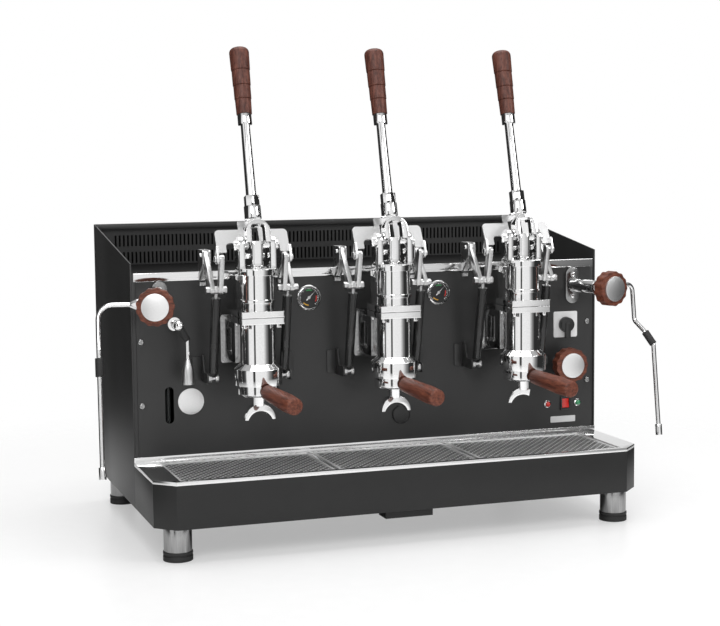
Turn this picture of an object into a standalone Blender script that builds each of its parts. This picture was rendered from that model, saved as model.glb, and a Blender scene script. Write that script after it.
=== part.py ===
"""Three-group lever espresso machine, modelled in metres, +Z up, the front facing -Y.

The origin is on the surface that the feet stand on, below the middle of the machine.
Each sub-part is one named object. Sizes are named values, and a place inside the casing
is measured from the front panel's face and from the casing's bottom edge by case().
"""
from math import asin, atan2, cos, pi, radians, sin

import bmesh
import bpy
from mathutils import Matrix, Vector

# Driving dimensions
BODY_WIDTH = 0.980
BODY_DEPTH = 0.397
FRONT_HEIGHT = 0.470
REAR_HEIGHT = 0.530
DECK_HEIGHT = 0.451
FOOT_HEIGHT = 0.063
TRAY_REACH = 0.210
TRAY_HEIGHT = 0.0884
GROUP_PITCH = 0.2722
GROUP_REACH = 0.113
PANEL_Y = -0.050

# Clearances and shared stock
SEAT = 0.0003
RUNNING = 0.0004
OVERRUN = 0.004
WELD = 0.00001
SHEET = 0.002
SIDE_SHEET = 0.003

# Facets of round pieces
ROUND = 14
MIDDLE = 10
SMALL = 8
HEXAGON = 6
CORNER_STEPS = 2

# Finishes: colour, roughness, metallic
BLACK_PAINT = ((0.018, 0.018, 0.018, 1.0), 0.42, 0.0)
POLISHED = ((0.80, 0.80, 0.80, 1.0), 0.10, 1.0)
BRUSHED = ((0.55, 0.55, 0.56, 1.0), 0.32, 1.0)
COPPER = ((0.72, 0.40, 0.26, 1.0), 0.30, 1.0)
WALNUT = ((0.19, 0.070, 0.048, 1.0), 0.45, 0.0)
BLACK_PLASTIC = ((0.015, 0.015, 0.016, 1.0), 0.35, 0.0)
RED_LENS = ((0.60, 0.015, 0.010, 1.0), 0.20, 0.0)

COLLECTION = "lever_espresso_machine"
SHARP_ANGLE = radians(38)
X_AXIS = Vector((1, 0, 0))
Y_AXIS = Vector((0, 1, 0))
Z_AXIS = Vector((0, 0, 1))


def clear_scene():
    for old in list(bpy.data.objects):
        bpy.data.objects.remove(old, do_unlink=True)


def make_collections():
    for title in (COLLECTION, "cutters"):
        group = bpy.data.collections.get(title)
        if group is None:
            group = bpy.data.collections.new(title)
            bpy.context.scene.collection.children.link(group)


def case(x, y, z):
    """A point measured from the front panel's face and the casing's bottom edge."""
    return Vector((x, PANEL_Y + y, FOOT_HEIGHT + z))


def link_piece(data):
    piece = bpy.data.objects.new("piece", data)
    bpy.data.collections[COLLECTION].objects.link(piece)
    return piece


def to_mesh(piece, weld=True):
    """Freeze a curve or a piece with modifiers into one mesh with outward faces."""
    graph = bpy.context.evaluated_depsgraph_get()
    mesh = bpy.data.meshes.new_from_object(piece.evaluated_get(graph))
    solid = link_piece(mesh)
    solid.matrix_world = piece.matrix_world
    bpy.data.objects.remove(piece, do_unlink=True)
    work = bmesh.new()
    work.from_mesh(mesh)
    if weld:
        bmesh.ops.remove_doubles(work, verts=work.verts, dist=WELD)
    bmesh.ops.recalc_face_normals(work, faces=work.faces)
    work.to_mesh(mesh)
    work.free()
    return solid


def from_bmesh(work):
    mesh = bpy.data.meshes.new("piece")
    bmesh.ops.recalc_face_normals(work, faces=work.faces)
    work.to_mesh(mesh)
    work.free()
    return link_piece(mesh)


def moved(piece, matrix):
    piece.data.transform(matrix)
    if matrix.determinant() < 0:
        piece.data.flip_normals()
    return piece


def frame_at(origin, across, up):
    """A frame whose X runs across, Y runs up and Z is square to both."""
    out = across.cross(up)
    turn = Matrix((across, up, out)).transposed()
    return Matrix.Translation(origin) @ turn.to_4x4()


def aimed(origin, direction):
    return Matrix.Translation(origin) @ direction.to_track_quat("Z", "Y").to_matrix().to_4x4()


def box(low, high):
    """A block between two corners, from a unit cube."""
    work = bmesh.new()
    bmesh.ops.create_cube(work, size=1.0)
    size = high - low
    bmesh.ops.scale(work, vec=size, verts=work.verts)
    bmesh.ops.translate(work, vec=(low + high) / 2, verts=work.verts)
    return from_bmesh(work)


def bar(x1, x2, y1, y2, z1, z2):
    """A block given by its reach along each axis, measured as case() does."""
    return box(case(x1, y1, z1), case(x2, y2, z2))


def rod(start, end, radius, sides=ROUND, end_radius=None):
    """A straight round or tapered bar between two points."""
    work = bmesh.new()
    far_radius = radius if end_radius is None else end_radius
    length = (end - start).length
    bmesh.ops.create_cone(work, cap_ends=True, segments=sides, radius1=radius,
                          radius2=far_radius, depth=length)
    return moved(from_bmesh(work), aimed((start + end) / 2, end - start))


def turned(profile, origin, direction=Z_AXIS, sides=ROUND, closed=False):
    """A profile of (radius, height) points, from the top down, turned about its axis."""
    mesh = bpy.data.meshes.new("profile")
    count = len(profile)
    links = [(i, i + 1) for i in range(count - 1)]
    if closed:
        links.append((count - 1, 0))
    mesh.from_pydata([(r, 0, h) for r, h in profile], links, [])
    piece = link_piece(mesh)
    screw = piece.modifiers.new("turn", "SCREW")
    screw.steps = sides
    screw.render_steps = sides
    screw.use_merge_vertices = True
    screw.merge_threshold = WELD
    return moved(to_mesh(piece), aimed(origin, direction))


def circle(centre, radius, sides=ROUND, start=0.0):
    return [(centre[0] + radius * cos(start + 2 * pi * i / sides),
             centre[1] + radius * sin(start + 2 * pi * i / sides)) for i in range(sides)]


def bore_for(pin_radius, sides):
    """Corner radius of a faceted hole that leaves running clearance all round a pin."""
    return (pin_radius + RUNNING) / cos(pi / sides)


def rounded(points, radius, steps=CORNER_STEPS):
    """An outline whose corners are arcs. The radius may be one value or one for each corner."""
    out = []
    count = len(points)
    for i in range(count):
        here = Vector(points[i])
        before = (Vector(points[i - 1]) - here).normalized()
        after = (Vector(points[(i + 1) % count]) - here).normalized()
        size = radius[i] if isinstance(radius, (list, tuple)) else radius
        half = before.angle(after) / 2
        if size <= 0 or sin(half) > 0.999:
            out.append(tuple(here))
            continue
        reach = size / (sin(half) / cos(half))
        centre = here + (before + after).normalized() * (size / sin(half))
        first = here + before * reach - centre
        sweep = first.angle_signed(here + after * reach - centre)
        for k in range(steps + 1):
            turn = Matrix.Rotation(-sweep * k / steps, 2)
            out.append(tuple(centre + turn @ first))
    return out


def rectangle(u1, u2, v1, v2):
    return [(u1, v1), (u2, v1), (u2, v2), (u1, v2)]


def strap(first, second, radius, sides=SMALL, end_radius=None):
    """The outline of a link: two round ends joined by their common tangents."""
    a = Vector(first)
    b = Vector(second)
    far_radius = radius if end_radius is None else end_radius
    along = atan2((b - a)[1], (b - a)[0])
    lean = asin((radius - far_radius) / (b - a).length)
    half = sides // 2
    points = []
    for k in range(half + 1):
        angle = along + pi / 2 - lean + (pi + 2 * lean) * k / half
        points.append((a[0] + radius * cos(angle), a[1] + radius * sin(angle)))
    for k in range(half + 1):
        angle = along - pi / 2 + lean + (pi - 2 * lean) * k / half
        points.append((b[0] + far_radius * cos(angle), b[1] + far_radius * sin(angle)))
    return points


def plate(outline, thickness, frame, holes=()):
    """A flat outline with holes, filled and given its thickness about the frame's plane."""
    curve = bpy.data.curves.new("outline", "CURVE")
    curve.dimensions = "2D"
    curve.fill_mode = "BOTH"
    curve.extrude = thickness / 2
    for loop in (outline, *holes):
        spline = curve.splines.new("POLY")
        spline.points.add(len(loop) - 1)
        for point, (u, v) in zip(spline.points, loop):
            point.co = (u, v, 0, 1)
        spline.use_cyclic_u = True
    return moved(to_mesh(link_piece(curve)), frame)


def side_plate(outline, x1, x2, holes=()):
    """A plate seen from the side: its outline is (y, z) in casing places, from x1 to x2."""
    frame = frame_at(case((x1 + x2) / 2, 0, 0), Y_AXIS, Z_AXIS)
    return plate(outline, abs(x2 - x1), frame, holes)


def front_plate(outline, y1, y2, holes=()):
    """A plate seen from the front: its outline is (x, z) in casing places, from y1 to y2."""
    frame = frame_at(case(0, (y1 + y2) / 2, 0), X_AXIS, Z_AXIS)
    return plate(outline, abs(y2 - y1), frame, holes)


def flat_plate(outline, z1, z2, holes=()):
    """A plate seen from above: its outline is (x, y) in casing places, from z1 to z2."""
    frame = frame_at(case(0, 0, (z1 + z2) / 2), X_AXIS, Y_AXIS)
    return plate(outline, abs(z2 - z1), frame, holes)


def bent(points, radius, steps=4):
    """A path through the points with its inner corners rounded."""
    path = [Vector(points[0])]
    for before, here, after in zip(points, points[1:], points[2:]):
        back = (Vector(before) - Vector(here)).normalized()
        on = (Vector(after) - Vector(here)).normalized()
        half = back.angle(on) / 2
        reach = radius * cos(half) / sin(half)
        centre = Vector(here) + (back + on).normalized() * (radius / sin(half))
        first = Vector(here) + back * reach - centre
        last = Vector(here) + on * reach - centre
        sweep = first.angle(last)
        for k in range(steps + 1):
            near = sin(sweep * (1 - k / steps)) / sin(sweep)
            far = sin(sweep * k / steps) / sin(sweep)
            path.append(centre + first * near + last * far)
    path.append(Vector(points[-1]))
    return path


def tube(points, radius, resolution=1):
    """A round bar along a path, with filled ends."""
    curve = bpy.data.curves.new("path", "CURVE")
    curve.dimensions = "3D"
    curve.bevel_depth = radius
    curve.bevel_resolution = resolution
    curve.use_fill_caps = True
    spline = curve.splines.new("POLY")
    spline.points.add(len(points) - 1)
    for point, place in zip(spline.points, points):
        point.co = (*place, 1)
    return to_mesh(link_piece(curve))


def combine(body, tools, operation):
    """Join or cut a piece with others, which are used up."""
    store = bpy.data.collections["cutters"]
    for tool in tools:
        bpy.data.collections[COLLECTION].objects.unlink(tool)
        store.objects.link(tool)
        tool.hide_render = True
        tool.display_type = "WIRE"
        step = body.modifiers.new("combine", "BOOLEAN")
        step.operation = operation
        step.object = tool
    result = to_mesh(body, weld=False)
    for tool in tools:
        bpy.data.objects.remove(tool, do_unlink=True)
    return result


def fused(body, *tools):
    return combine(body, tools, "UNION")


def cut(body, *tools):
    return combine(body, tools, "DIFFERENCE")


def softened(piece, width, segments=1):
    """The sharp edges of a piece bevelled."""
    bevel = piece.modifiers.new("soft_edges", "BEVEL")
    bevel.width = width
    bevel.segments = segments
    bevel.limit_method = "ANGLE"
    bevel.angle_limit = SHARP_ANGLE
    return to_mesh(piece)


def mirrored(piece):
    """A copy of a piece on the other side of the machine's middle."""
    return moved(link_piece(piece.data.copy()), Matrix.Diagonal((-1, 1, 1, 1)))


def shifted(piece, x):
    """A copy of a piece further along the machine."""
    return moved(link_piece(piece.data.copy()), Matrix.Translation((x, 0, 0)))


def finish(name, look):
    colour, roughness, metallic = look
    material = bpy.data.materials.new(name + "_finish")
    material.use_nodes = True
    shader = material.node_tree.nodes["Principled BSDF"]
    shader.inputs["Base Color"].default_value = colour
    shader.inputs["Roughness"].default_value = roughness
    shader.inputs["Metallic"].default_value = metallic
    material.diffuse_color = colour
    return material


def node(name, look, *bodies, pivot=None):
    """Gather the solids of one sub-part under one name, with its origin on its joint's axis."""
    origin = Vector((0, 0, 0)) if pivot is None else Vector(pivot)
    work = bmesh.new()
    for body in bodies:
        work.from_mesh(body.data)
    mesh = bpy.data.meshes.new(name)
    work.to_mesh(mesh)
    work.free()
    for body in bodies:
        bpy.data.objects.remove(body, do_unlink=True)
    mesh.transform(Matrix.Translation(-origin))
    mesh.materials.append(finish(name, look))
    mesh.shade_smooth()
    mesh.set_sharp_from_angle(angle=SHARP_ANGLE)
    piece = bpy.data.objects.new(name, mesh)
    piece.location = origin
    bpy.data.collections[COLLECTION].objects.link(piece)
    return piece


# Casing
PANEL_SIDE_GAP = 0.007
FLANGE = 0.017
TOP_FOLD = 0.010
PAN_WALL = 0.025
RIM_FOLD = 0.012
RIM_DROP = 0.0115
GALLERY_ROW_HEIGHT = 0.024
GALLERY_DROP = 0.085
GALLERY_ROW_RISE = 0.036
GALLERY_PITCH = 0.044
GALLERY_SLOT_WIDTH = 0.020
GALLERY_MARGIN = 0.036
CUP_DECK_DROP = 0.011
CUP_DECK_Z = DECK_HEIGHT - CUP_DECK_DROP
CUP_DECK_SKIRT = 0.020
TRIM_DROP = 0.016
TRIM_SHEET = 0.0012
TRIM_FLANGE = 0.016
TRIM_END_GAP = 0.003

# Boiler on its saddles
BOILER_RADIUS = 0.105
BOILER_LENGTH = 0.760
BOILER_DOME = 0.045
BOILER_Y = 0.200
NECK_DROP = 0.131
NECK_Z = DECK_HEIGHT - NECK_DROP
SADDLE_X = 0.260
SADDLE_THICKNESS = 0.030
SADDLE_HALF_DEPTH = 0.060
SADDLE_WRAP = 0.030

HALF_WIDTH = BODY_WIDTH / 2
INNER_X = HALF_WIDTH - SIDE_SHEET
PANEL_HALF = INNER_X - PANEL_SIDE_GAP
FLANGE_Y = SHEET + SEAT


def side_panel():
    """The right-hand side: a sloping sheet with front and rear return flanges and a top fold."""
    slope = (REAR_HEIGHT - FRONT_HEIGHT) / BODY_DEPTH
    sheet = side_plate([(0, 0), (BODY_DEPTH, 0), (BODY_DEPTH, REAR_HEIGHT), (0, FRONT_HEIGHT)],
                       INNER_X, HALF_WIDTH)
    inner = INNER_X - FLANGE
    bite = INNER_X + SIDE_SHEET / 2
    low = PAN_WALL + SEAT
    front_top = DECK_HEIGHT - TRIM_SHEET - SEAT
    rear_y = BODY_DEPTH - FLANGE_Y
    front = bar(inner, bite, FLANGE_Y, FLANGE_Y + SHEET, low, front_top)
    rear = bar(inner, bite, rear_y - SHEET, rear_y, low, REAR_HEIGHT - RIM_DROP - OVERRUN)
    end = BODY_DEPTH - SHEET - RIM_FOLD - SEAT
    end_z = FRONT_HEIGHT + slope * end
    fold = side_plate([(0, FRONT_HEIGHT - SHEET), (end, end_z - SHEET), (end, end_z), (0, FRONT_HEIGHT)],
                      INNER_X - TOP_FOLD, bite)
    return fused(sheet, front, rear, fold)


def rear_panel():
    """The back sheet, with two rows of slots in its gallery and a folded top rim."""
    half = INNER_X - SEAT
    count = int((2 * half - 2 * GALLERY_MARGIN) / GALLERY_PITCH) + 1
    slots = []
    for row in range(2):
        low = REAR_HEIGHT - GALLERY_DROP + row * GALLERY_ROW_RISE
        for i in range(count):
            x = (i - (count - 1) / 2) * GALLERY_PITCH
            slots.append(rectangle(x - GALLERY_SLOT_WIDTH / 2, x + GALLERY_SLOT_WIDTH / 2,
                                   low, low + GALLERY_ROW_HEIGHT))
    face = BODY_DEPTH - SHEET
    sheet = front_plate(rectangle(-half, half, 0, REAR_HEIGHT), face, BODY_DEPTH, slots)
    top = bar(-half, half, face - RIM_FOLD, face + SHEET / 2, REAR_HEIGHT - SHEET, REAR_HEIGHT)
    lip = bar(-half, half, face - RIM_FOLD, face - RIM_FOLD + SHEET, REAR_HEIGHT - RIM_DROP,
              REAR_HEIGHT - SHEET / 2)
    return fused(sheet, fused(top, lip))


def front_panel():
    """The front sheet with all that is bolted to it: brackets, gauges, valves and switches."""
    holes = [circle((x, NECK_Z), bore_for(NECK_PIPE_RADIUS, ROUND)) for x in group_places()]
    low = SIGHT_LOW_Z + SIGHT_WIDTH / 2
    high = SIGHT_HIGH_Z - SIGHT_WIDTH / 2
    holes.append(strap((SIGHT_X, low), (SIGHT_X, high), SIGHT_WIDTH / 2))
    holes.append(circle((SELECTOR_X, SELECTOR_Z), bore_for(SELECTOR_SHAFT_RADIUS, SMALL), SMALL))
    half_w = ROCKER_WIDTH / 2 - ROCKER_BEZEL
    half_h = ROCKER_HEIGHT / 2 - ROCKER_BEZEL
    holes.append(rectangle(ROCKER_X - half_w, ROCKER_X + half_w, LAMP_Z - half_h, LAMP_Z + half_h))
    top = DECK_HEIGHT - TRIM_SHEET - SEAT
    sheet = front_plate(rectangle(-PANEL_HALF, PANEL_HALF, PAN_WALL + SEAT, top), 0, SHEET, holes)
    return fused(sheet, *panel_brackets(), *panel_fittings(), *panel_valves())


def chassis():
    """The base pan with its folded walls, the saddles under the boiler and the rear feet."""
    half = INNER_X - SEAT
    back = BODY_DEPTH - FLANGE_Y
    pan = cut(bar(-half, half, 0, back, 0, PAN_WALL),
              bar(-half + SHEET, half - SHEET, SHEET, back - SHEET, SHEET, PAN_WALL + OVERRUN))
    saddles = []
    floor = SHEET / 2
    top = NECK_Z - BOILER_RADIUS + SADDLE_WRAP
    for side in (-1, 1):
        middle = side * SADDLE_X
        block = bar(middle - SADDLE_THICKNESS / 2, middle + SADDLE_THICKNESS / 2,
                    BOILER_Y - SADDLE_HALF_DEPTH, BOILER_Y + SADDLE_HALF_DEPTH, floor, top)
        reach = SADDLE_THICKNESS / 2 + OVERRUN
        wrap = BOILER_RADIUS + SEAT
        hollow = turned([(0, reach), (wrap, reach), (wrap, -reach), (0, -reach)],
                        case(middle, BOILER_Y, NECK_Z), X_AXIS)
        saddles.append(cut(block, hollow))
    legs = [foot(side * REAR_FOOT_X, REAR_FOOT_Y) for side in (-1, 1)]
    return fused(pan, *saddles, *legs)


def boiler():
    """A drum with domed ends, lying across the machine."""
    half = BOILER_LENGTH / 2
    straight = half - BOILER_DOME
    steps = 4
    cap = [(BOILER_RADIUS * sin(pi / 2 * k / steps), straight + BOILER_DOME * cos(pi / 2 * k / steps))
           for k in range(steps + 1)]
    profile = cap + [(r, -h) for r, h in reversed(cap)]
    profile[0] = (0, half)
    profile[-1] = (0, -half)
    return turned(profile, case(0, BOILER_Y, NECK_Z), X_AXIS)


def cup_deck():
    """The cup shelf: a sheet with its front and rear edges folded down."""
    half = INNER_X - SEAT
    front = FLANGE_Y + SHEET + SEAT
    back = BODY_DEPTH - FLANGE_Y - SHEET - SEAT
    block = bar(-half, half, front, back, CUP_DECK_Z - CUP_DECK_SKIRT, CUP_DECK_Z + SHEET)
    hollow = bar(-half - OVERRUN, half + OVERRUN, front + SHEET, back - SHEET,
                 CUP_DECK_Z - CUP_DECK_SKIRT - OVERRUN, CUP_DECK_Z)
    return cut(block, hollow)


def front_trim():
    """The polished angle strip over the front panel's top edge."""
    half = INNER_X - TRIM_END_GAP
    face = -SEAT - TRIM_SHEET
    low = DECK_HEIGHT - TRIM_DROP
    outline = [(face, low), (-SEAT, low), (-SEAT, DECK_HEIGHT - TRIM_SHEET),
               (TRIM_FLANGE, DECK_HEIGHT - TRIM_SHEET), (TRIM_FLANGE, DECK_HEIGHT),
               (face, DECK_HEIGHT)]
    return side_plate(outline, -half, half)


def casing():
    right = side_panel()
    left = mirrored(right)
    node("side_panel_right", BLACK_PAINT, right)
    node("side_panel_left", BLACK_PAINT, left)
    node("rear_panel", BLACK_PAINT, rear_panel())
    node("front_panel", BLACK_PAINT, front_panel())
    node("chassis", BLACK_PAINT, chassis())
    node("boiler", COPPER, boiler())
    node("cup_tray", BLACK_PAINT, cup_deck())
    node("front_trim", POLISHED, front_trim())


# Drip tray
TRAY_CHAMFER = 0.036
TRAY_RIM_HEIGHT = 0.007
TRAY_RIM_SHEET = 0.0015
TRAY_SIDE_MARGIN = 0.045
TRAY_FRONT_MARGIN = 0.010
TRAY_REAR_MARGIN = 0.014
TRAY_LEDGE = 0.007
GRATE_RECESS = 0.0022
GRATE_THICKNESS = 0.002
GRATE_EDGE_GAP = 0.001
GRATE_SPLIT_X = 0.142
GRATE_SPLIT_GAP = 0.008
GRATE_BORDER = 0.016
GRATE_HOLE_WIDTH = 0.034
GRATE_HOLE_PITCH = 0.050
GRATE_HOLE_DEPTH_SHARE = 0.8
UPSTAND_RISE = 0.0096
DRAIN_HALF_WIDTH = 0.048
DRAIN_FRONT_Y = -0.190
DRAIN_BACK_Y = -0.150
DRAIN_DROP = 0.017
DRAIN_EDGE = 0.002

# Feet
PAD_RADIUS = 0.0275
PAD_HEIGHT = 0.017
PAD_GROOVE_Z = 0.0095
PAD_GROOVE_HEIGHT = 0.003
PAD_GROOVE_DEPTH = 0.002
LEG_RADIUS = 0.026
FRONT_FOOT_X = 0.445
FRONT_FOOT_Y = -0.169
REAR_FOOT_X = 0.450
REAR_FOOT_INSET = 0.046
REAR_FOOT_Y = BODY_DEPTH - REAR_FOOT_INSET


def tray_outline(inset):
    """The tray seen from above, with its front corners cut, drawn in by an even inset."""
    half = HALF_WIDTH - inset
    front = -TRAY_REACH + inset
    back = -SEAT - inset
    corner = TRAY_CHAMFER - inset * (2 - 1 / cos(pi / 4))
    return [(-half, back), (-half, front + corner), (-half + corner, front),
            (half - corner, front), (half, front + corner), (half, back)]


def tray_housing():
    """The drip tray's basin, with two chamfered corners, its drain box and the front feet."""
    top = TRAY_HEIGHT - TRAY_RIM_HEIGHT - SEAT
    outer = flat_plate(tray_outline(0), 0, top)
    inner = flat_plate(tray_outline(SHEET), SHEET, top + OVERRUN)
    drain = bar(-DRAIN_HALF_WIDTH, DRAIN_HALF_WIDTH, DRAIN_FRONT_Y, DRAIN_BACK_Y, -DRAIN_DROP, SHEET / 2)
    legs = [foot(side * FRONT_FOOT_X, FRONT_FOOT_Y) for side in (-1, 1)]
    return fused(cut(outer, inner), softened(drain, DRAIN_EDGE), *legs)


def grate_spans():
    """The left and right ends of the three grates."""
    outer = HALF_WIDTH - TRAY_SIDE_MARGIN - GRATE_EDGE_GAP
    near = GRATE_SPLIT_X - GRATE_SPLIT_GAP / 2
    far = GRATE_SPLIT_X + GRATE_SPLIT_GAP / 2
    return [(-outer, -far), (-near, near), (far, outer)]


def tray_rim():
    """The polished frame on the basin, with ledges under the grates and an upstand behind."""
    under = TRAY_HEIGHT - TRAY_RIM_SHEET
    opening_half = HALF_WIDTH - TRAY_SIDE_MARGIN
    front = -TRAY_REACH + TRAY_FRONT_MARGIN
    back = -TRAY_REAR_MARGIN
    ledge_top = TRAY_HEIGHT - GRATE_RECESS - GRATE_THICKNESS - SEAT
    base = TRAY_HEIGHT - TRAY_RIM_HEIGHT
    solid = flat_plate(tray_outline(0), base, TRAY_HEIGHT)
    pocket = flat_plate(rectangle(-opening_half, opening_half, front, back), ledge_top,
                        TRAY_HEIGHT + OVERRUN)
    cells = []
    for left, right in grate_spans():
        cells.append(bar(left + TRAY_LEDGE, right - TRAY_LEDGE, front + TRAY_LEDGE,
                         back - TRAY_LEDGE, base - OVERRUN, ledge_top + OVERRUN))
    frame = cut(solid, pocket, *cells)
    lip = bar(-HALF_WIDTH, HALF_WIDTH, -SEAT - TRAY_RIM_SHEET, -SEAT, under, TRAY_HEIGHT + UPSTAND_RISE)
    return fused(frame, lip)


def drip_grates():
    """Three perforated plates that lift out of the rim."""
    top = TRAY_HEIGHT - GRATE_RECESS
    front = -TRAY_REACH + TRAY_FRONT_MARGIN + GRATE_EDGE_GAP
    back = -TRAY_REAR_MARGIN - GRATE_EDGE_GAP
    plates = []
    for left, right in grate_spans():
        holes = []
        columns = int((right - left - 2 * GRATE_BORDER) / GRATE_HOLE_PITCH)
        rows = int((back - front - 2 * GRATE_BORDER) / GRATE_HOLE_PITCH)
        for i in range(columns):
            for k in range(rows):
                x = (left + right) / 2 + (i - (columns - 1) / 2) * GRATE_HOLE_PITCH
                y = (front + back) / 2 + (k - (rows - 1) / 2) * GRATE_HOLE_PITCH
                w = GRATE_HOLE_WIDTH / 2
                d = w * GRATE_HOLE_DEPTH_SHARE
                holes.append([(x - w, y), (x, y - d), (x + w, y), (x, y + d)])
        plates.append(flat_plate(rectangle(left, right, front, back), top - GRATE_THICKNESS, top, holes))
    return plates


def foot(x, y):
    """A rubber pad with its groove, and the steel sleeve that stands on it."""
    groove = PAD_RADIUS - PAD_GROOVE_DEPTH
    top = FOOT_HEIGHT + SHEET / 2
    profile = [(0, top), (LEG_RADIUS, top), (LEG_RADIUS, PAD_HEIGHT), (PAD_RADIUS, PAD_HEIGHT),
               (PAD_RADIUS, PAD_GROOVE_Z + PAD_GROOVE_HEIGHT), (groove, PAD_GROOVE_Z + PAD_GROOVE_HEIGHT),
               (groove, PAD_GROOVE_Z), (PAD_RADIUS, PAD_GROOVE_Z), (PAD_RADIUS, 0), (0, 0)]
    return turned(profile, case(x, y, -FOOT_HEIGHT), sides=ROUND)


def drip_tray():
    node("tray_housing", BLACK_PAINT, tray_housing())
    node("tray_rim", POLISHED, tray_rim())
    for number, grate in enumerate(drip_grates(), 1):
        node("drip_grate_" + str(number), BRUSHED, grate)


# Group body, in heights above the casing's bottom edge
BELL_RADIUS = 0.0452
BELL_LOW_DROP = 0.2072
BELL_LOW_Z = DECK_HEIGHT - BELL_LOW_DROP
BELL_HIGH_DROP = 0.1767
BELL_HIGH_Z = DECK_HEIGHT - BELL_HIGH_DROP
BELL_CONE_DROP = 0.167
BELL_CONE_Z = DECK_HEIGHT - BELL_CONE_DROP
BARREL_RADIUS = 0.034
CYLINDER_BORE = 0.026
BORE_LOW_DROP = 0.189
BORE_LOW_Z = DECK_HEIGHT - BORE_LOW_DROP
RIM_RADIUS = 0.035
RIM_TOP_DROP = 0.1948
RIM_TOP_Z = DECK_HEIGHT - RIM_TOP_DROP
CLAMP_HALF = 0.0415
CLAMP_LOW_DROP = 0.097
CLAMP_LOW_Z = DECK_HEIGHT - CLAMP_LOW_DROP
CLAMP_SPLIT_DROP = 0.082
CLAMP_SPLIT_Z = DECK_HEIGHT - CLAMP_SPLIT_DROP
CLAMP_TOP_DROP = 0.067
CLAMP_TOP_Z = DECK_HEIGHT - CLAMP_TOP_DROP
CLAMP_CORNER = 0.003
CLAMP_SEAM = 0.001
CLAMP_BOLT_RADIUS = 0.005
CLAMP_BOLT_INSET = 0.0095
CLAMP_BOLT_DROP = 0.007
NECK_HALF_WIDTH = 0.037
NECK_LOW_DROP = 0.169
NECK_LOW_Z = DECK_HEIGHT - NECK_LOW_DROP
NECK_HIGH_DROP = 0.093
NECK_HIGH_Z = DECK_HEIGHT - NECK_HIGH_DROP
NECK_CORNER = 0.006
NECK_PIPE_RADIUS = 0.018
POCKET_BORDER = 0.012
POCKET_DEPTH = 0.009
FOOT_FLANGE_SIDE = 0.009
FOOT_FLANGE_THICKNESS = 0.008

# Head, with the ears that carry the lever
HEAD_RADIUS = 0.031
HEAD_RING_RADIUS = 0.0335
HEAD_RING_DROP = 0.0524
HEAD_RING_Z = DECK_HEIGHT - HEAD_RING_DROP
HEAD_RING_HEIGHT = 0.006
CAP_RADIUS = 0.0355
CAP_LOW_DROP = 0.001
CAP_LOW_Z = DECK_HEIGHT - CAP_LOW_DROP
CAP_TOP_RISE = 0.0105
CAP_TOP_Z = DECK_HEIGHT + CAP_TOP_RISE
COLLAR_RADIUS = 0.0135
COLLAR_RISE = 0.0035
ROD_RADIUS = 0.008
EAR_INNER = 0.025
EAR_OUTER = 0.035
EAR_RADIUS = 0.0175
EAR_BASE_CORNER = 0.009
EAR_BASE_MARGIN = 0.001
EAR_BASE_BORDER = 0.004
BLOCK_HALF_WIDTH = 0.024
BLOCK_REACH = 0.036
BLOCK_TOP_DROP = 0.005
BLOCK_TOP_Z = DECK_HEIGHT - BLOCK_TOP_DROP

# Lever. Its axle is measured from the panel and from the casing's bottom edge.
AXLE_Y = -0.106
AXLE_RISE = 0.054
AXLE_Z = DECK_HEIGHT + AXLE_RISE
AXLE_RADIUS = 0.006
AXLE_HEAD_RADIUS = 0.0095
AXLE_HEAD_THICKNESS = 0.0075
LEAN = radians(15)
TRAVEL = radians(85)
FORK_INNER = 0.0135
FORK_OUTER = 0.0235
FORK_HALF_THICKNESS = 0.010
FORK_LOBE_RADIUS = 0.015
FORK_WINDOW_TOP = 0.038
FORK_WINDOW_CORNER = 0.006
FORK_SHOULDER = 0.036
FORK_TOP = 0.054
FORK_TOP_HALF = 0.0145
LOBE_RAISE = 0.0006
CRANK = 0.032
CRANK_PIN_RADIUS = 0.005
CRANK_LOBE_RADIUS = 0.0105
SOCKET_RADIUS = 0.016
SOCKET_LOW = 0.050
SOCKET_TOP = 0.074
NUT_RADIUS = 0.015
NUT_TOP = 0.094
ARM_LOW_RADIUS = 0.010
ARM_HIGH_RADIUS = 0.00875
FERRULE_RADIUS = 0.0135
FERRULE_LOW = 0.235
GRIP_LOW = 0.255
GRIP_TOP = 0.386
GRIP_LOW_RADIUS = 0.01475
GRIP_HIGH_RADIUS = 0.019
GRIP_CROWN = 0.010
GRIP_GROOVE_DEPTH = 0.0007
GRIP_GROOVE_WIDTH = 0.0016
GRIP_GROOVE_SHARES = (0.42, 0.50, 0.58)

# Yoke behind the fork, which works the dampers. It is drawn in its own leaning plane.
YOKE_FOOT_Y = -0.092
YOKE_FOOT_RISE = 0.04
YOKE_FOOT_Z = DECK_HEIGHT + YOKE_FOOT_RISE
YOKE_LEAN = radians(28.2)
YOKE_THICKNESS = 0.004
YOKE_HALF_WIDTH = 0.072
YOKE_LEG_WIDTH = 0.020
YOKE_BRIDGE_LOW = 0.0193
YOKE_BRIDGE_TOP = 0.0465
YOKE_WINDOW_HALF = 0.014
YOKE_HUMP_LOW = 0.0511
YOKE_HUMP_TOP = 0.0636
YOKE_HUMP_HALF = 0.024
YOKE_CORNER = 0.008
YOKE_INNER_CORNER = 0.002
YOKE_FLANGE_SHEET = 0.003
YOKE_FLANGE_DEPTH = 0.026
YOKE_EYE_RADIUS = 0.0095
LUG_HALF_WIDTH = 0.008

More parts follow.
